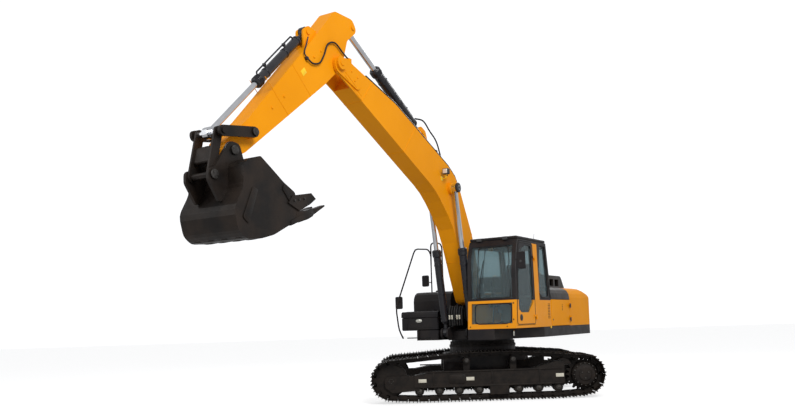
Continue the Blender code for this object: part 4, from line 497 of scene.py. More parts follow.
def flowing(points, steps=8):
    points = [Vector(point) for point in points]
    line = [2 * points[0] - points[1], *points, 2 * points[-1] - points[-2]]
    route = []
    for a, b, c, d in zip(line, line[1:], line[2:], line[3:]):
        for step in range(steps):
            t = step / steps
            bend = (2 * a - 5 * b + 4 * c - d) * t * t + (3 * b - a - 3 * c + d) * t**3
            route.append((2 * b + (c - a) * t + bend) / 2)
    return [*route, points[-1]]


def together(pieces):
    onlyActive(pieces[0])
    for piece in pieces[1:]:
        piece.select_set(True)
    if len(pieces) > 1:
        bpy.ops.object.join()
    return bpy.context.active_object


def copyAt(obj, place):
    twin = obj.copy()
    twin.data = obj.data.copy()
    twin.data.transform(place)
    bpy.context.scene.collection.objects.link(twin)
    return twin


def finishPiece(obj, name, finish, body, where="upper", angle=32):
    if where:
        obj.data.transform(places[where])
    onlyActive(obj)
    bpy.ops.object.shade_smooth_by_angle(angle=math.radians(angle))
    obj.name = name
    obj.data.name = name
    obj.data.materials.clear()
    obj.data.materials.append(materials[finish])
    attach(obj, body)
    return obj


# Tracks
chain = {
    "idlerX": 1.85, "sprocketX": -1.80, "axleZ": 0.43, "wheel": 0.285, "carrierXs": (0.417, -0.470),
    "carrierZ": 0.76, "carrier": 0.065, "rollerXs": (1.32, -1.305), "roller": 0.088, "rollerZ": 0.203,
    "shoes": 49, "linkHigh": 0.072, "shoeThick": 0.013, "grouser": 0.030, "shoeWide": 0.60,
    "railMiddle": 0.0775, "railThick": 0.036, "middleY": 1.17, "shoeFill": 0.965,
    "pin": 0.020, "bush": 0.030,
}


def wheelHull(offset):
    wheels = [(chain[end], chain["axleZ"], chain["wheel"]) for end in ("idlerX", "sprocketX")]
    wheels += [(x, chain["carrierZ"], chain["carrier"]) for x in chain["carrierXs"]]
    wheels += [(x, chain["rollerZ"], chain["roller"]) for x in chain["rollerXs"]]
    points = []
    for x, z, radius in wheels:
        for step in range(96):
            angle = 2 * math.pi * step / 96
            reach = radius + offset
            points.append((x + reach * math.cos(angle), z + reach * math.sin(angle)))
    points = sorted((round(x, 6), round(z, 6)) for x, z in set(points))
    halves = []
    for run in (points, points[::-1]):
        line = []
        for point in run:
            while len(line) > 1:
                (ax, az), (bx, bz) = line[-2:]
                if (bx - ax) * (point[1] - az) - (bz - az) * (point[0] - ax) > 0:
                    break
                line.pop()
            line.append(point)
        halves += line[:-1]
    return [Vector(point) for point in halves]


def spacedAlong(line, count):
    spans = [(a, b, (b - a).length) for a, b in zip(line, line[1:] + line[:1])]
    pitch = sum(length for a, b, length in spans) / count
    points, gone, wanted = [], 0.0, 0.0
    for a, b, length in spans:
        while wanted < gone + length and len(points) < count:
            points.append(a.lerp(b, (wanted - gone) / length))
            wanted += pitch
        gone += length
    return points, pitch


def makeShoe(pitch):
    deselect()
    bpy.ops.mesh.primitive_grid_add(x_subdivisions=13, y_subdivisions=1, size=1)
    shoe = bpy.context.active_object
    shoe.scale = (pitch * chain["shoeFill"], chain["shoeWide"], 1)
    bpy.ops.object.transform_apply(location=True, rotation=True, scale=True)
    column = pitch * chain["shoeFill"] / 13
    bpy.ops.object.mode_set(mode="EDIT")
    bpy.ops.mesh.select_all(action="DESELECT")
    bpy.ops.object.mode_set(mode="OBJECT")
    ridges = {1: 1.0, 6: 0.86, 11: 0.86}  # column of the grid: height of its ridge
    for index, tall in ridges.items():
        middle = (index + 0.5) * column - pitch * chain["shoeFill"] / 2
        for polygon in shoe.data.polygons:
            polygon.select = abs(polygon.center.x - middle) < column * 0.3 and polygon.center.z < 0.001
        onlyActive(shoe)
        bpy.ops.object.mode_set(mode="EDIT")
        bpy.ops.mesh.extrude_region_move(TRANSFORM_OT_translate={"value": (0, 0, chain["grouser"] * tall)})
        bpy.ops.transform.resize(value=(0.62, 0.992, 1))  # a ridge narrows to its edge
        bpy.ops.mesh.select_all(action="DESELECT")
        bpy.ops.object.mode_set(mode="OBJECT")
    thick = shoe.modifiers.new("thick", "SOLIDIFY")
    thick.thickness = chain["shoeThick"]
    thick.offset = -1
    bpy.ops.object.modifier_apply(modifier=thick.name)
    for vertex in shoe.data.vertices:
        if vertex.co.z < 0.002 and abs(vertex.co.x) > pitch * chain["shoeFill"] * 0.44:
            vertex.co.z -= 0.006 * math.copysign(1, vertex.co.x)
    shoe.data.transform(Matrix.Translation((0, 0, chain["shoeThick"])))
    return shoe


def makeLinks(pitch):
    high = chain["linkHigh"]
    outline = [
        (-0.62, 0.10), (-0.52, 0.02), (-0.18, 0.0), (0.18, 0.0), (0.52, 0.02), (0.62, 0.10),
        (0.60, 0.62), (0.44, 0.86), (0.34, 1.0), (-0.34, 1.0), (-0.44, 0.86), (-0.60, 0.62),
    ]
    shape = [(x * pitch, z * high - high) for x, z in outline]
    half = chain["railThick"] / 2
    plates = [
        cutPlate(shape, side * chain["railMiddle"] - half, side * chain["railMiddle"] + half, edge=0)
        for side in (1, -1)
    ]
    reach = chain["railMiddle"] + half + 0.006
    joint = (pitch * 0.5, -high * 0.52)
    plates.append(crossPin(joint, -reach, reach, chain["pin"], 12, 0))
    plates.append(crossPin(joint, -chain["railMiddle"], chain["railMiddle"], chain["bush"], 12, 0))
    return together(plates)


def makeTrack(word, side):
    line = wheelHull(chain["linkHigh"])
    points, pitch = spacedAlong(line, chain["shoes"])
    shoe = together([makeShoe(pitch), makeLinks(pitch)])
    copies = []
    for here, after in zip(points, points[1:] + points[:1]):
        along = (after - here).normalized()
        middle = (here + after) / 2
        turn = Matrix(
            (
                (along.x, 0, along.y, middle.x),
                (0, 1, 0, side * chain["middleY"]),
                (along.y, 0, -along.x, middle.y),
                (0, 0, 0, 1),
            )
        )
        copies.append(copyAt(shoe, turn))
    bpy.data.objects.remove(shoe)
    track = together(copies)
    onlyActive(track)
    bpy.ops.object.mode_set(mode="EDIT")
    bpy.ops.mesh.select_all(action="SELECT")
    bpy.ops.mesh.normals_make_consistent(inside=False)
    bpy.ops.object.mode_set(mode="OBJECT")
    finishPiece(track, word + "TrackChain", "trackSteel", "undercarriage", "tracks", 25)
    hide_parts(word + "_track")


running = {
    "frameOut": 0.1705,  # outer face of a track frame, from the track's middle
    "plates": ((1.26, 0.40), (0.36, 0.415), (-1.33, 0.43)), "plateWide": 0.15, "plateHigh": 0.065,
    "ribXs": (1.05, -0.05, -0.95), "ribLow": 0.268, "ribHigh": 0.545,
    "guard": (
        (0.47, 0.33), (0.73, 0.33), (0.76, 0.36), (0.76, 0.47), (0.73, 0.50), (0.47, 0.50), (0.44, 0.47),
        (0.44, 0.36),
    ),
    "rollers": 8, "rollerFace": 0.119, "hub": 0.050, "hubPin": 0.020,
    "capOut": 0.243, "boltRing": 0.208, "bolts": 16,  # cap from the track's middle
}


def makeRunningGear(word, side):
    face = side * (chain["middleY"] + running["frameOut"])

    def out(amount):
        return face + side * amount

    def between(first, second):
        return sorted((out(first), out(second)))

    plates = []
    for x, z in running["plates"]:
        low, high = between(0, 0.005)
        wide, tall = running["plateWide"] / 2, running["plateHigh"] / 2
        plates.append(block((x - wide, low, z - tall), (x + wide, high, z + tall), 0.004))
    finishPiece(together(plates), word + "BlankPlates", "blankPlate", "undercarriage", "tracks")
    low, high = between(0, 0.016)
    ribs = [
        block((-1.38, low, running["ribHigh"]), (1.30, high, running["ribHigh"] + 0.027), 0.004),
        block((-1.38, low, running["ribLow"]), (1.30, high, running["ribLow"] + 0.030), 0.004),
        cutPlate(running["guard"], *between(0, 0.012)),
    ]
    for x in running["ribXs"]:
        outer = out(0.010) if side > 0 else high
        ribs.append(block((x - 0.012, low, 0.30), (x + 0.012, outer, running["ribHigh"]), 0.003))
    finishPiece(together(ribs), word + "FrameRibs", "trackSteel", "undercarriage", "tracks")
    hubs = []
    rollerStep = (chain["rollerXs"][0] - chain["rollerXs"][1]) / (running["rollers"] - 1)
    middle = side * chain["middleY"]
    for index in range(running["rollers"]):
        x = chain["rollerXs"][0] - index * rollerStep
        for way in (1, -1):
            near, far = sorted((middle + way * running["rollerFace"], middle + way * 0.142))
            hubs.append(crossPin((x, chain["rollerZ"]), near, far, running["hub"], 20))
            near, far = sorted((middle + way * running["rollerFace"], middle + way * 0.152))
            hubs.append(crossPin((x, chain["rollerZ"]), near, far, running["hubPin"], 12))
    for x in chain["carrierXs"]:
        near, far = sorted((middle + side * 0.11, middle + side * 0.128))
        hubs.append(crossPin((x, chain["carrierZ"]), near, far, 0.042, 20))
    finishPiece(together(hubs), word + "RollerHubs", "boltSteel", "undercarriage", "tracks")
    cap = middle + side * running["capOut"]
    bolts = []
    for index in range(running["bolts"]):
        angle = 2 * math.pi * index / running["bolts"]
        spot = (
            chain["sprocketX"] + running["boltRing"] * math.cos(angle),
            chain["axleZ"] + running["boltRing"] * math.sin(angle),
        )
        near, far = sorted((cap - side * 0.045, cap - side * 0.012))
        bolts.append(crossPin(spot, near, far, 0.013, 6, 0.002))
    for index in range(3):
        angle = 2 * math.pi * (index + 0.25) / 3
        spot = (chain["sprocketX"] + 0.07 * math.cos(angle), chain["axleZ"] + 0.07 * math.sin(angle))
        near, far = sorted((cap - side * 0.01, cap + side * 0.006))
        bolts.append(crossPin(spot, near, far, 0.014, 6, 0.002))
    for index in range(8):
        angle = 2 * math.pi * index / 8
        spot = (chain["idlerX"] + 0.04 * math.cos(angle), chain["axleZ"] - 0.02 + 0.04 * math.sin(angle))
        near, far = sorted((middle + side * 0.150, middle + side * 0.165))
        bolts.append(crossPin(spot, near, far, 0.009, 6, 0.001))
    finishPiece(together(bolts), word + "TrackBolts", "boltSteel", "undercarriage", "tracks")


for word, side in (("left", 1), ("right", -1)):
    makeTrack(word, side)
    makeRunningGear(word, side)
print("tracks made")


# What the pieces measure themselves by
def machineBox(node):
    back = upperPlace.inverted() @ frame["nodes"][node].matrix_world
    points = [back @ vertex.co for vertex in frame["nodes"][node].data.vertices]
    return [Vector(pick(point[axis] for point in points) for axis in range(3)) for pick in (min, max)]


def skinAt(start, way, far=6.0):
    graph = bpy.context.evaluated_depsgraph_get()
    start = upperPlace @ Vector(start)
    way = upperPlace.to_3x3() @ Vector(way)
    found, spot, *rest = bpy.context.scene.ray_cast(graph, start, way, distance=far)
    return upperPlace.inverted() @ spot if found else None


def onSide(x, z, side=1, lift=0.0, otherwise=1.38):
    spot = skinAt((x, side * 2.2, z), (0, -side, 0))
    return Vector((x, (spot.y if spot else side * otherwise) + side * lift, z))


def onTop(x, y, lift=0.0):
    spot = skinAt((x, y, 7.5), (0, 0, -1), 9)
    return Vector((x, y, spot.z + lift))


def bolt(spot, radius=0.014, high=0.010, side=1):
    seat = spot[1] - side * 0.004
    centre = (spot[0], spot[2])
    washer = crossPin(centre, *sorted((seat, spot[1] + side * 0.003)), radius * 1.35, 16, 0)
    return together([crossPin(centre, *sorted((seat, spot[1] + side * high)), radius, 6, 0.0015), washer])


def roundedLoop(corners, radius, steps=5):
    loop = []
    for before, here, after in zip(corners[-1:] + corners[:-1], corners, corners[1:] + corners[:1]):
        here = Vector(here)
        toBefore = (Vector(before) - here).normalized() * radius
        toAfter = (Vector(after) - here).normalized() * radius
        for step in range(steps + 1):
            t = step / steps
            loop.append(here + toBefore * (1 - t) ** 2 + toAfter * t**2)
    return loop


# Upper structure
upper = {
    "louvreXs": (-0.255, -0.315), "louvreLow": 1.50, "louvrePitch": 0.031, "louvres": 10, "louvreHigh": 0.014,
    "rearLouvreX": -1.02, "handleX": 1.094, "handleZ": 1.53,
    "boxPlate": (-0.92, 1.53),  # y and z on the tool box's front
}


def makeSidePieces():
    slots = []
    for x in upper["louvreXs"]:
        for index in range(upper["louvres"]):
            spot = onSide(x, upper["louvreLow"] + index * upper["louvrePitch"])
            low = (x - 0.021, spot.y - 0.004, spot.z)
            slots.append(block(low, (x + 0.021, spot.y + 0.003, spot.z + upper["louvreHigh"]), 0.002))
    for index in range(4):
        x, z = upper["rearLouvreX"], 1.66 + index * 0.034
        y = onSide(x, z).y
        slots.append(block((x - 0.020, y - 0.004, z), (x + 0.020, y + 0.003, z + upper["louvreHigh"]), 0.002))
    finishPiece(together(slots), "coolingSlots", "grilleBlack", "upper_structure")
    spot = onSide(upper["handleX"], upper["handleZ"])
    recess = crossPin((spot.x, spot.z), spot.y - 0.004, spot.y + 0.008, 0.062, 32)
    low = (spot.x - 0.012, spot.y + 0.006, spot.z - 0.045)
    lever = block(low, (spot.x + 0.012, spot.y + 0.020, spot.z + 0.045), 0.006)
    lockPin = crossPin((spot.x + 0.030, spot.z - 0.028), spot.y + 0.004, spot.y + 0.011, 0.010, 16)
    finishPiece(together([recess, lever, lockPin]), "doorHandle", "cabPlastic", "cab_door")
    for word, side in (("left", 1), ("right", -1)):
        body = word + "_side_door"
        low, high = machineBox(body)
        face = high.y if side > 0 else low.y
        parts = []
        for z in (low.z + 0.12, high.z - 0.12):
            x = low.x + 0.06
            near, far = sorted((face - side * 0.003, face + side * 0.006))
            parts.append(block((x - 0.03, near, z - 0.045), (x + 0.03, far, z + 0.045), 0.005))
            near, far = sorted((face + side * 0.003, face + side * 0.014))
            parts.append(block((x - 0.010, near, z - 0.028), (x + 0.010, far, z + 0.028), 0.004))
        finishPiece(together(parts), word + "DoorLatches", "cabPlastic", body)
    latch = onSide(-0.35, 1.325, 1, 0.0)
    finishPiece(
        block((latch.x - 0.02, latch.y - 0.004, 1.30), (latch.x + 0.02, latch.y + 0.014, 1.345), 0.004),
        "skirtLatch", "warningPlate", "upper_structure",
    )
    tag = onSide(0.78, 1.24)
    finishPiece(
        block((tag.x - 0.045, tag.y - 0.003, 1.19), (tag.x + 0.045, tag.y + 0.004, 1.29), 0.004),
        "skirtTag", "mirrorFace", "upper_structure",
    )
    stud = onSide(-0.48, 1.47)
    finishPiece(bolt(stud, 0.012, 0.008), "sideStud", "boltSteel", "upper_structure")


def makeTopPieces():
    low, high = machineBox("engine_hood")
    middle = (low + high) / 2
    bars = []
    for y in (middle.y - 0.28, middle.y + 0.28):
        base = onTop(low.x + 0.16, y)
        route = [(base.x, y, base.z - 0.01), (base.x, y, base.z + 0.05), (base.x + 0.14, y, base.z + 0.05)]
        base = onTop(low.x + 0.30, y)
        bars.append(tube(flowing([*route, (base.x, y, base.z - 0.01)], 6), 0.009))
    finishPiece(together(bars), "hoodHandles", "darkPaint", "engine_hood")
    bolts = []
    for x in (low.x + 0.05, high.x - 0.05):
        for y in (low.y + 0.06, middle.y, high.y - 0.06):
            spot = onTop(x, y)
            bolts.append(uprightPin(spot, -0.004, 0.010, 0.014, 6, 0.002))
    finishPiece(together(bolts), "hoodBolts", "boltSteel", "engine_hood")
    rings = []
    for x in (-1.85, -2.45):
        for y in (-0.55, 0.55):
            spot = onTop(x, y)
            arch = [(x - 0.07, y, spot.z - 0.02), (x - 0.06, y, spot.z + 0.05), (x, y, spot.z + 0.085)]
            arch += [(x + 0.06, y, spot.z + 0.05), (x + 0.07, y, spot.z - 0.02)]
            rings.append(tube(flowing(arch, 6), 0.016))
    finishPiece(together(rings), "liftingEyes", "bodyPaint", "upper_structure")
    caps = []
    for node, share, radius in (("hydraulic_tank", 0.5, 0.075), ("fuel_tank", 0.45, 0.065)):
        low, high = machineBox(node)
        x, y = low.x + (high.x - low.x) * share, (low.y + high.y) / 2 - 0.06
        spot = onTop(x, y)
        caps.append(uprightPin(spot, -0.01, 0.035, radius, 28, 0.008))
        caps.append(uprightPin(spot, 0.03, 0.055, radius * 0.45, 20, 0.006))
    finishPiece(together(caps), "tankCaps", "darkPaint", "upper_structure")
    low, high = machineBox("tool_box_lid")
    treads = []
    for index in range(7):
        x = low.x + 0.07 + index * (high.x - low.x - 0.14) / 6
        for y in ((low.y * 3 + high.y) / 4, (low.y + high.y * 3) / 4):
            spot = onTop(x, y)
            base = (x - 0.006, y - 0.13, spot.z - 0.003)
            treads.append(block(base, (x + 0.006, y + 0.13, spot.z + 0.004), 0.001))
    finishPiece(together(treads), "lidTreads", "darkPaint", "tool_box_lid")
    y, z = upper["boxPlate"]
    front = skinAt((3.0, y, z), (-1, 0, 0))
    if front:
        turns = [2 * math.pi * index / 32 for index in range(32)]
        ellipse = [(y + 0.072 * math.cos(turn), z + 0.034 * math.sin(turn)) for turn in turns]
        plate = cutPlate(ellipse, front.x - 0.002, front.x + 0.004, "front", 0.001)
        finishPiece(plate, "toolBoxPlate", "mirrorFace", "upper_structure")
        seam = block((front.x - 0.003, -1.25, 1.385), (front.x + 0.004, -0.60, 1.397), 0.002)
        step = block((front.x - 0.01, -1.20, 1.18), (front.x + 0.02, -0.65, 1.20), 0.004)
        finishPiece(together([seam, step]), "toolBoxSeam", "grilleBlack", "upper_structure")


mirrorHeads = (  # x, right edge, left edge, foot and top of each glass
    (1.02, -1.428, -1.268, 1.79, 2.03),
    (0.02, -1.378, -1.218, 2.27, 2.50),
)


def makeMirrors():
    faces, rims = [], []
    for x, low, high, bottom, top in mirrorHeads:
        corner = (x - 0.004, low + 0.018, bottom + 0.018)
        faces.append(block(corner, (x + 0.002, high - 0.018, top - 0.018), 0.002))
        shape = [(low, bottom), (high, bottom), (high, top), (low, top)]
        loop = roundedLoop(shape, 0.03)
        rims.append(tube([(x, point.x, point.y) for point in loop], 0.007, 2, True))
    low, high = machineBox("left_mirror")
    corner = (low.x - 0.003, high.y - 0.15, low.z + 0.03)
    faces.append(block(corner, (low.x + 0.003, high.y - 0.02, high.z - 0.03), 0.002))
    finishPiece(together(faces), "mirrorGlasses", "mirrorFace", "upper_structure")
    knob = frontPin(Vector((high.x, high.y - 0.085, 2.56)), 0.004, 0.012, 0.022, 20)
    finishPiece(together([*rims, knob]), "mirrorRims", "cabPlastic", "upper_structure")


exhaustTip = (-1.74, -0.93, 2.70)


def makeExhaust():
    tip = Vector(exhaustTip)
    back = Vector((-0.14, 0, 0.15)).normalized()
    ring = turnedPin(tip - back * 0.05, tip + back * 0.004, 0.062, 28, 0.003)
    throat = turnedPin(tip - back * 0.01, tip + back * 0.007, 0.046, 28, 0.001)
    finishPiece(ring, "exhaustLip", "trackSteel", "upper_structure")
    finishPiece(throat, "exhaustThroat", "grilleBlack", "upper_structure")


makeSidePieces()
makeTopPieces()
makeMirrors()
makeExhaust()
print("upper structure made")


# Cab
cab = {  # outlines in x and z on the cab's left side, in y and z on its front
    "door": [(1.268, 1.405), (1.268, 1.66), (1.105, 2.935), (0.46, 2.935), (0.43, 1.90), (0.43, 1.405)],
    "rearPane": [(0.060, 2.935), (-0.165, 2.945), (-0.365, 1.90), (0.05, 1.90), (0.19, 2.00)],
    "upperPane": [(0.57, 1.90), (1.265, 1.90), (1.215, 2.87), (0.60, 2.87)],
    "lowerPane": [(0.53, 1.43), (1.285, 1.43), (1.275, 1.80), (0.53, 1.80)],
    "seal": 0.011, "doorSkin": 1.381, "frontLeast": 1.0, "leverYs": (0.60, 1.12), "pedalYs": (0.76, 0.94), "lampYs": (0.60, 1.14),
}


def onFront(y, z, lift=0.0):
    for aside in (0, 0.03, -0.03):  # a gap beside a pane is passed over
        spot = skinAt((3.2, y + aside, z), (-1, 0, 0), 4)
        if spot and spot.x > cab["frontLeast"]:
            return Vector((spot.x + lift, y, z))
    return Vector((1.3 + lift, y, z))


def makeCab():
    seals = []
    for outline, corner in ((cab["upperPane"], 0.06), (cab["lowerPane"], 0.09)):
        loop = roundedLoop(outline, corner)
        seals.append(tube([onFront(p.x, p.y, 0.002) for p in loop], cab["seal"], 2, True))
    finishPiece(together(seals), "frontSeals", "hoseRubber", "upper_structure")
    loop = roundedLoop(cab["rearPane"], 0.05)
    route = [onSide(p.x, p.y, 1, 0.0) for p in loop]
    face = max(p.y for p in route)
    seal = tube([(p.x, max(p.y, face - 0.06), p.z) for p in route], cab["seal"], 2, True)
    finishPiece(seal, "rearPaneSeal", "hoseRubber", "upper_structure")
    loop = roundedLoop(cab["door"], 0.05)
    seam = tube([(p.x, cab["doorSkin"], p.y) for p in loop], 0.007, 2, True)
    finishPiece(seam, "doorSeam", "hoseRubber", "cab_door")
    low = onFront(0.62, 1.92, 0.012)
    mid = onFront(0.66, 2.25, 0.022)
    top = onFront(0.72, 2.62, 0.016)
    arm = tube(flowing([low, mid, top], 8), 0.008)
    first, second = onFront(0.70, 2.28, 0.010), onFront(0.74, 2.83, 0.010)
    blade = tube([first, second], 0.007)
    boss = frontPin(low, 0.03, 0.015, 0.024, 20)
    finishPiece(together([arm, blade, boss]), "wiper", "hoseRubber", "upper_structure")
    studs = []
    for z in (1.50, 1.80):
        spot = onFront(1.33, z)
        studs.append(frontPin(spot, 0.004, 0.008, 0.013, 16, 0.003))
    for y, z in ((0.44, 1.38), (1.20, 1.375)):
        spot = onFront(y, z)
        studs.append(frontPin(spot, 0.004, 0.007, 0.012, 6, 0.002))
    finishPiece(together(studs), "frontStuds", "grilleBlack", "upper_structure")
    spot = onSide(1.17, 1.705)
    reflector = block((spot.x - 0.028, spot.y - 0.02, 1.685), (spot.x + 0.028, spot.y + 0.006, 1.735), 0.004)
    finishPiece(reflector, "doorReflector", "warningPlate", "cab_door")
    roof = machineBox("cab_roof")
    hatch = block((0.10, 0.60, roof[1].z - 0.01), (0.72, 1.16, roof[1].z + 0.022), 0.014, 3)
    ridge = [
        block((x, 0.50, roof[1].z - 0.01), (x + 0.035, 1.26, roof[1].z + 0.010), 0.006) for x in (-0.10, 0.86)
    ]
    finishPiece(together([hatch, *ridge]), "roofHatch", "darkPaint", "upper_structure")
    mast = together(
        [
            turnedPin((-0.06, 1.20, roof[1].z - 0.01), (-0.06, 1.20, roof[1].z + 0.03), 0.018, 16),
            turnedPin((-0.06, 1.20, roof[1].z), (-0.10, 1.20, roof[1].z + 0.14), 0.004, 10, 0.001),
        ]
    )
    finishPiece(mast, "aerial", "cabPlastic", "upper_structure")
    lamps = []
    for y in cab["lampYs"]:
        spot = onFront(y, 3.02, 0)
        lamps.append(block((spot.x - 0.02, y - 0.05, 2.995), (spot.x + 0.035, y + 0.05, 3.055), 0.008))
    finishPiece(together(lamps), "roofLamps", "cabPlastic", "upper_structure")


def makeControls():
    parts = []
    for y in cab["leverYs"]:
        base = Vector((0.62, y, 1.98))
        stem = [base, base + Vector((0.02, 0, 0.10)), base + Vector((0.05, 0, 0.20))]
        parts.append(tube(flowing(stem, 6), 0.011))
        grip = turnedPin(base + Vector((0.045, 0, 0.18)), base + Vector((0.075, 0, 0.30)), 0.024, 20, 0.010)
        parts.append(grip)
        rubber = uprightPin(base, -0.03, 0.05, 0.040, 20, 0.014)
        parts.append(rubber)
    for y in cab["pedalYs"]:
        parts.append(turnedPin((1.02, y, 1.42), (0.98, y, 1.80), 0.010, 12, 0.002))
        parts.append(block((0.98, y - 0.05, 1.43), (1.15, y + 0.05, 1.45), 0.006))
    monitor = block((1.02, 0.46, 2.00), (1.06, 0.60, 2.20), 0.010)
    stalk = turnedPin((1.04, 0.50, 1.86), (1.04, 0.50, 2.02), 0.012, 12)
    parts += [monitor, stalk]
    finishPiece(together(parts), "cabControls", "cabPlastic", "upper_structure")
    screen = block((1.016, 0.475, 2.02), (1.021, 0.585, 2.18), 0.002)
    finishPiece(screen, "monitorScreen", "grilleBlack", "upper_structure")


makeCab()
makeControls()
print("cab made")


# Boom
boomLook = {
    "half": 0.175, "hoseRadius": 0.014, "bead": 0.006, "lamp": (1.80, 4.30), "capRadius": 0.095,
    "seams": ((1.05, 2.70), (2.95, 4.63), (4.25, 5.15)),
    "tipBolts": ((4.60, 5.48), (4.44, 5.42), (4.52, 5.35)),
    "tipFins": ((0.0, 0.46), (-0.07, 0.62), (-0.15, 0.80)), "finStart": (4.78, 5.44), "finFall": 0.62,
}
eyes = {"boom": (1.48, 4.03), "arm": (4.47, 6.24), "bucket": (7.437, 3.963)}
feet = {"boom": (0.98, 1.28), "arm": (2.266, 4.982), "bucket": (5.52, 5.86)}


def beadAcross(x, z, tilt, half):
    way = Vector((math.cos(tilt), 0, math.sin(tilt)))
    ends = []
    for sign in (1, -1):
        outer = Vector((x, half * 0.5, z)) + way * sign * 1.2
        spot = skinAt(outer, -way * sign, 1.2)
        if spot:
            ends.append(spot)
    return ends


def makeBoom():
    beads = []
    for x, z in boomLook["seams"]:
        slope = math.atan2(3.58, 4.48) + math.pi / 2  # square to the boom's run
        ends = beadAcross(x, z, slope, boomLook["half"])
        if len(ends) == 2:
            for y in (boomLook["half"], -boomLook["half"]):
                first, second = (Vector((end.x, y, end.z)) for end in ends)
                beads.append(tube([first, second], boomLook["bead"], 2))
            under = min(ends, key=lambda end: end.z)
            beads.append(tube([(under.x, -0.17, under.z), (under.x, 0.17, under.z)], boomLook["bead"], 2))
    finishPiece(together(beads), "boomWelds", "bodyPaint", "boom")
    caps = []
    for side in (1, -1):
        near, far = sorted((side * 0.333, side * 0.375))
        caps.append(crossPin(eyes["boom"], near, far, boomLook["capRadius"], 32, 0.014))
        near, far = sorted((side * 0.370, side * 0.386))
        caps.append(crossPin(eyes["boom"], near, far, 0.030, 20, 0.005))
    finishPiece(together(caps), "boomPinCaps", "cylinderPaint", "boom_rods")
    lampX, lampZ = boomLook["lamp"]
    y = boomLook["half"]

    def lampBlock(back, ahead, inset, edge):
        low = (lampX + back, y + 0.05 + inset, lampZ - 0.055 + inset)
        return block(low, (lampX + ahead, y + 0.17 - inset, lampZ + 0.055 - inset), edge, 3)

    body = lampBlock(-0.045, 0.035, 0, 0.016)
    finishPiece(body, "workLampBody", "cabPlastic", "boom")
    rim = lampBlock(0.030, 0.046, 0.002, 0.008)
    lens = lampBlock(0.040, 0.052, 0.014, 0.010)
    finishPiece(rim, "workLampRim", "cabPlastic", "boom")
    finishPiece(lens, "workLampLens", "lampLens", "boom")
    stem = [
        (lampX - 0.02, y - 0.004, lampZ - 0.12),
        (lampX, y + 0.09, lampZ - 0.12),
        (lampX, y + 0.11, lampZ - 0.05),
    ]
    bracket = [
        tube(flowing(stem, 6), 0.009),
        block((lampX - 0.06, y - 0.002, lampZ - 0.16), (lampX + 0.02, y + 0.008, lampZ - 0.08), 0.003),
    ]
    finishPiece(together(bracket), "workLampBracket", "warningPlate", "boom")
    route = [
        (lampX - 0.04, y + 0.10, lampZ + 0.01),
        (lampX - 0.14, y + 0.06, lampZ - 0.06),
        (lampX - 0.16, y - 0.004, lampZ + 0.02),
        (lampX - 0.14, y - 0.02, lampZ + 0.10),
    ]
    finishPiece(tube(flowing(route, 6), 0.005), "workLampCable", "hoseRubber", "boom")
    hose = []
    for y in (0.11, -0.11):
        footX, footZ = feet["arm"]
        route = [
            (footX + 0.20, y * 0.4, footZ + 0.22),
            (footX + 0.02, y, footZ + 0.20),
            (footX - 0.20, y, footZ + 0.06),
            (footX - 0.44, y, footZ - 0.10),
            (footX - 0.60, y, footZ - 0.30),
        ]
        end = onTop(route[-1][0], y, 0.0)
        route[-1] = (end.x, y, end.z + 0.02)
        hose.append(tube(flowing(route, 8), boomLook["hoseRadius"]))
    finishPiece(together(hose), "armCylinderHoses", "hoseRubber", "boom")
    bosses = []
    for x, z in boomLook["tipBolts"]:
        for side in (1, -1):
            spot = skinAt((x, side * 1.0, z), (0, -side, 0), 2)
            if spot:
                bosses.append(bolt((x, spot.y, z), 0.014, 0.010, side))
    finishPiece(together(bosses), "boomTipBolts", "bodyPaint", "boom")
    ribs = []
    startX, startZ = boomLook["finStart"]
    for drop, reach in boomLook["tipFins"]:
        for side in (1, -1):
            route = []
            for share in range(9):
                x = startX - reach * share / 8
                z = startZ + drop - (startX - x) * boomLook["finFall"]
                spot = skinAt((x, side * 1.0, z), (0, -side, 0), 2)
                if spot and abs(spot.y) < 0.3:
                    route.append(spot)
            if len(route) > 2:
                ribs.append(tube(route, 0.007, 2))
    if ribs:
        finishPiece(together(ribs), "boomTipFins", "bodyPaint", "boom")


footHose = {
    "ys": (-0.165, -0.110, -0.055, 0.0, 0.055, 0.108), "sleeved": (-0.165, -0.110, 0.0, 0.055),
    "x": 1.04, "z": 1.42, "radius": 0.015,
    "route": ((0, 0), (0.02, 0.20), (0.0, 0.32), (-0.05, 0.37), (-0.10, 0.30), (-0.12, 0.12)),
}


def makeFootHoses():
    hoses, sleeves = [], []
    for y in footHose["ys"]:
        base = Vector((footHose["x"], y, footHose["z"]))
        route = [base + Vector((x, 0, z)) for x, z in footHose["route"]]
        hoses.append(tube(flowing(route, 6), footHose["radius"]))
        if y in footHose["sleeved"]:
            low, high = base + Vector((0.012, 0, 0.12)), base + Vector((0.018, 0, 0.20))
            sleeves.append(turnedPin(low, high, footHose["radius"] + 0.0025, 20, 0.002))
    finishPiece(together(hoses), "footHoses", "hoseRubber", "upper_structure")
    finishPiece(together(sleeves), "hoseSleeves", "blankPlate", "upper_structure")


makeBoom()
makeFootHoses()
print("boom made")


# Arm
armLook = {
    "half": 0.14,
    "loop": (  # the hose over the arm's joint
        (4.62, 5.655), (4.78, 5.73), (4.98, 5.83), (5.16, 5.76), (5.25, 5.58), (5.36, 5.42), (5.52, 5.36),
        (5.66, 5.40),
    ),
    "loopRadius": 0.013,
    "plate": ((5.64, 5.20), (5.72, 5.12), (5.78, 5.18), (5.70, 5.26)),
    "bolts": ((5.30, 5.62), (5.46, 5.48), (6.15, 4.72), (6.40, 4.50)),
    "top": (5.54, 5.68), "run": (1.346, -1.444), "welds": (0.30, 0.62),  # shares of the run
}


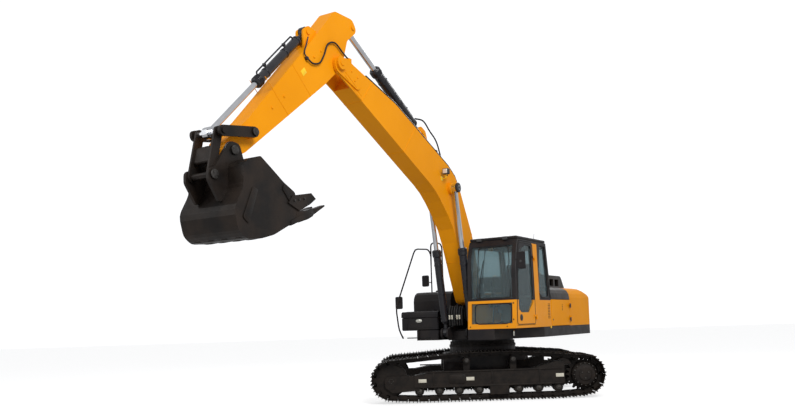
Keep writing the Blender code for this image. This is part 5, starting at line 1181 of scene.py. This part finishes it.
def makeArm():
    y = armLook["half"]
    plate = cutPlate(armLook["plate"], y - 0.002, y + 0.003, "side", 0.001)
    finishPiece(plate, "armBlankPlate", "warningPlate", "arm")
    bosses = []
    for x, z in armLook["bolts"]:
        for side in (1, -1):
            bosses.append(bolt((x, side * y, z), 0.016, 0.012, side))
    finishPiece(together(bosses), "armBolts", "bodyPaint", "arm")
    line = [Vector((x, y + 0.030, z)) for x, z in armLook["loop"]]
    hose = tube(flowing(line, 10), armLook["loopRadius"])
    hose.data.transform(upperPlace)
    onlyActive(hose)
    bpy.ops.object.shade_smooth_by_angle(angle=math.radians(40))
    hose.name = "armLoopHose"
    hose.data.materials.clear()
    hose.data.materials.append(materials["hoseRubber"])
    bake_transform(hose)
    route = [(5.66, y + 0.03, 5.40), (5.72, y + 0.03, 5.47), (5.66, y + 0.025, 5.62), (5.56, y * 0.8, 5.76)]
    pipe = tube(flowing(route, 8), 0.011)
    fitting = crossPin((5.66, 5.40), y - 0.004, y + 0.045, 0.026, 20)
    clampStart = block((4.58, y + 0.002, 5.62), (4.66, y + 0.05, 5.69), 0.008)
    finishPiece(together([pipe, fitting]), "armPipe", "cylinderPaint", "arm")
    finishPiece(clampStart, "armHoseClamp", "bodyPaint", "boom")
    welds = []
    top, run = Vector(armLook["top"]), Vector(armLook["run"])
    slope = math.atan2(run.y, run.x) + math.pi / 2
    for share in armLook["welds"]:
        start = top + run * share
        ends = beadAcross(start.x - 0.1, start.y - 0.12, slope, y)
        if len(ends) == 2:
            for side in (1, -1):
                first, second = (Vector((end.x, side * y, end.z)) for end in ends)
                welds.append(tube([first, second], 0.005, 2))
    if welds:
        finishPiece(together(welds), "armWelds", "bodyPaint", "arm")


makeArm()
print("arm made")


# Cylinders
cylinders = {  # length is the barrel's, from its foot's pin
    "boom": {"ys": (0.285, -0.285), "radius": 0.075, "length": 1.646, "body": "boom_barrels"},
    "arm": {"ys": (0.0,), "radius": 0.082, "length": 1.640, "body": "arm_barrel"},
    "bucket": {"ys": (0.0,), "radius": 0.066, "length": 1.480, "body": "bucket_barrel"},
}
fittings = {  # rings and clamps by their distance from the barrel's open end
    "headRings": (0.035, 0.058, 0.081, 0.104), "clamps": (0.30, 0.86),
    "footRing": (0.235, 0.27), "pipe": 0.012,
}


def makeCylinder(word, facts):
    foot, eye = Vector(feet[word]), Vector(eyes[word])
    along = (eye - foot).normalized()
    up = Vector((-along.y, along.x))
    if up.y < 0:
        up = -up
    radius, length = facts["radius"], facts["length"]
    rings, pipes = [], []

    def at(distance, y, lift=0.0):
        spot = foot + along * distance + up * lift
        return Vector((spot.x, y, spot.y))

    def ring(first, last, y, extra):
        rings.append(turnedPin(at(first, y), at(last, y), radius + extra, 32, 0.002))

    for y in facts["ys"]:
        for back in fittings["headRings"]:
            ring(length - back - 0.005, length - back + 0.005, y, 0.019)
        for back in fittings["clamps"]:
            ring(length - back - 0.018, length - back + 0.018, y, 0.006)
        ring(*fittings["footRing"], y, 0.007)
        stations = (
            (0.30, -0.01), (0.32, 0.035), (0.42, 0.042),
            (length - 0.24, 0.042), (length - 0.14, 0.036), (length - 0.12, -0.005),
        )
        route = [at(distance, y, radius + lift) for distance, lift in stations]
        pipes.append(tube(flowing(route, 5), fittings["pipe"]))
        for distance in (0.55, length - 0.35):
            middle = at(distance, y, radius + 0.03)
            half = Vector((0.022, 0.022, 0.022))
            pipes.append(block(middle - half, middle + half, 0.005))
    finishPiece(together(rings + pipes), word + "CylinderFittings", "cylinderPaint", facts["body"])


for word, facts in cylinders.items():
    makeCylinder(word, facts)
print("cylinders made")


# Bucket
bucketLook = {
    "half": 0.483, "teeth": 5, "tooth": 0.085, "toothPin": (6.03, 3.05),
    "adapter": (
        (6.30, 2.890), (6.10, 2.955), (6.00, 3.005), (5.955, 3.06), (6.02, 3.115), (6.16, 3.065),
        (6.33, 3.045), (6.36, 2.96),
    ),
    "cutterBolts": ((6.40, 3.175), (6.30, 3.20), (6.20, 3.225)),
    "floor": ((7.32, 2.61), (7.10, 2.60), (6.90, 2.645), (6.70, 2.722)),
    "stripYs": (-0.36, -0.12, 0.12, 0.36),
    "heel": ((7.26, 2.78), (7.36, 2.86), (7.18, 3.26), (7.08, 3.24)),
    "lip": ((6.60, 3.37), (6.62, 3.30), (6.44, 3.10), (6.38, 3.12)),
    "capReach": 0.235,
}


def makeBucket():
    half, wide = bucketLook["half"], bucketLook["tooth"]
    adapters, pins = [], []
    pitch = 2 * (half - wide / 2) / (bucketLook["teeth"] - 1)
    for index in range(bucketLook["teeth"]):
        middle = -half + wide / 2 + index * pitch
        grip, pinHalf = wide * 0.56, wide * 0.60
        adapters.append(cutPlate(bucketLook["adapter"], middle - grip, middle + grip, "side", 0.008))
        pins.append(crossPin(bucketLook["toothPin"], middle - pinHalf, middle + pinHalf, 0.011, 12, 0.001))
    finishPiece(together(adapters), "toothAdapters", "bucketSteel", "bucket")
    bolts = []
    for side in (1, -1):
        for x, z in bucketLook["cutterBolts"]:
            bolts.append(bolt((x, side * (half + 0.024), z), 0.018, 0.014, side))
    finishPiece(together([*pins, *bolts]), "bucketBolts", "boltSteel", "bucket")
    wear = []
    for y in bucketLook["stripYs"]:
        route = []
        for x, z in bucketLook["floor"]:
            spot = skinAt((x, y, 1.6), (0, 0, 1), 2)
            route.append(Vector((x, y, (spot.z if spot else z) - 0.003)))
        strip = [(p.x, p.z - 0.008) for p in route] + [(p.x, p.z + 0.008) for p in reversed(route)]
        wear.append(cutPlate(strip, y - 0.045, y + 0.045, "side", 0.002))
    finishPiece(together(wear), "wearStrips", "bucketSteel", "bucket")
    ribs = []
    for side in (1, -1):
        face = side * half
        near, far = sorted((face - side * 0.004, face + side * 0.014))
        ribs.append(cutPlate(roundedLoop(bucketLook["heel"], 0.03, 4), near, far, "side", 0.004))
        ribs.append(cutPlate(bucketLook["lip"], near, far, "side", 0.003))
    finishPiece(together(ribs), "bucketSidePlates", "bucketSteel", "bucket")
    caps = []
    reach = bucketLook["capReach"]
    for x, z in (bucketPin, bucketLinkPin):
        for side in (1, -1):
            near, far = sorted((side * (reach - 0.01), side * (reach + 0.012)))
            caps.append(crossPin((x, z), near, far, 0.062, 28, 0.006))
            caps.append(bolt((x + 0.03, side * (reach + 0.010), z + 0.02), 0.010, 0.008, side))
    finishPiece(together(caps), "bucketPinCaps", "boltSteel", "bucket")
    caps = []
    for side in (1, -1):
        near, far = sorted((side * 0.276, side * 0.296))
        caps.append(crossPin(guidePin, near, far, 0.055, 28, 0.006))
    finishPiece(together(caps), "guidePinCaps", "boltSteel", "arm")


makeBucket()
print("bucket made")
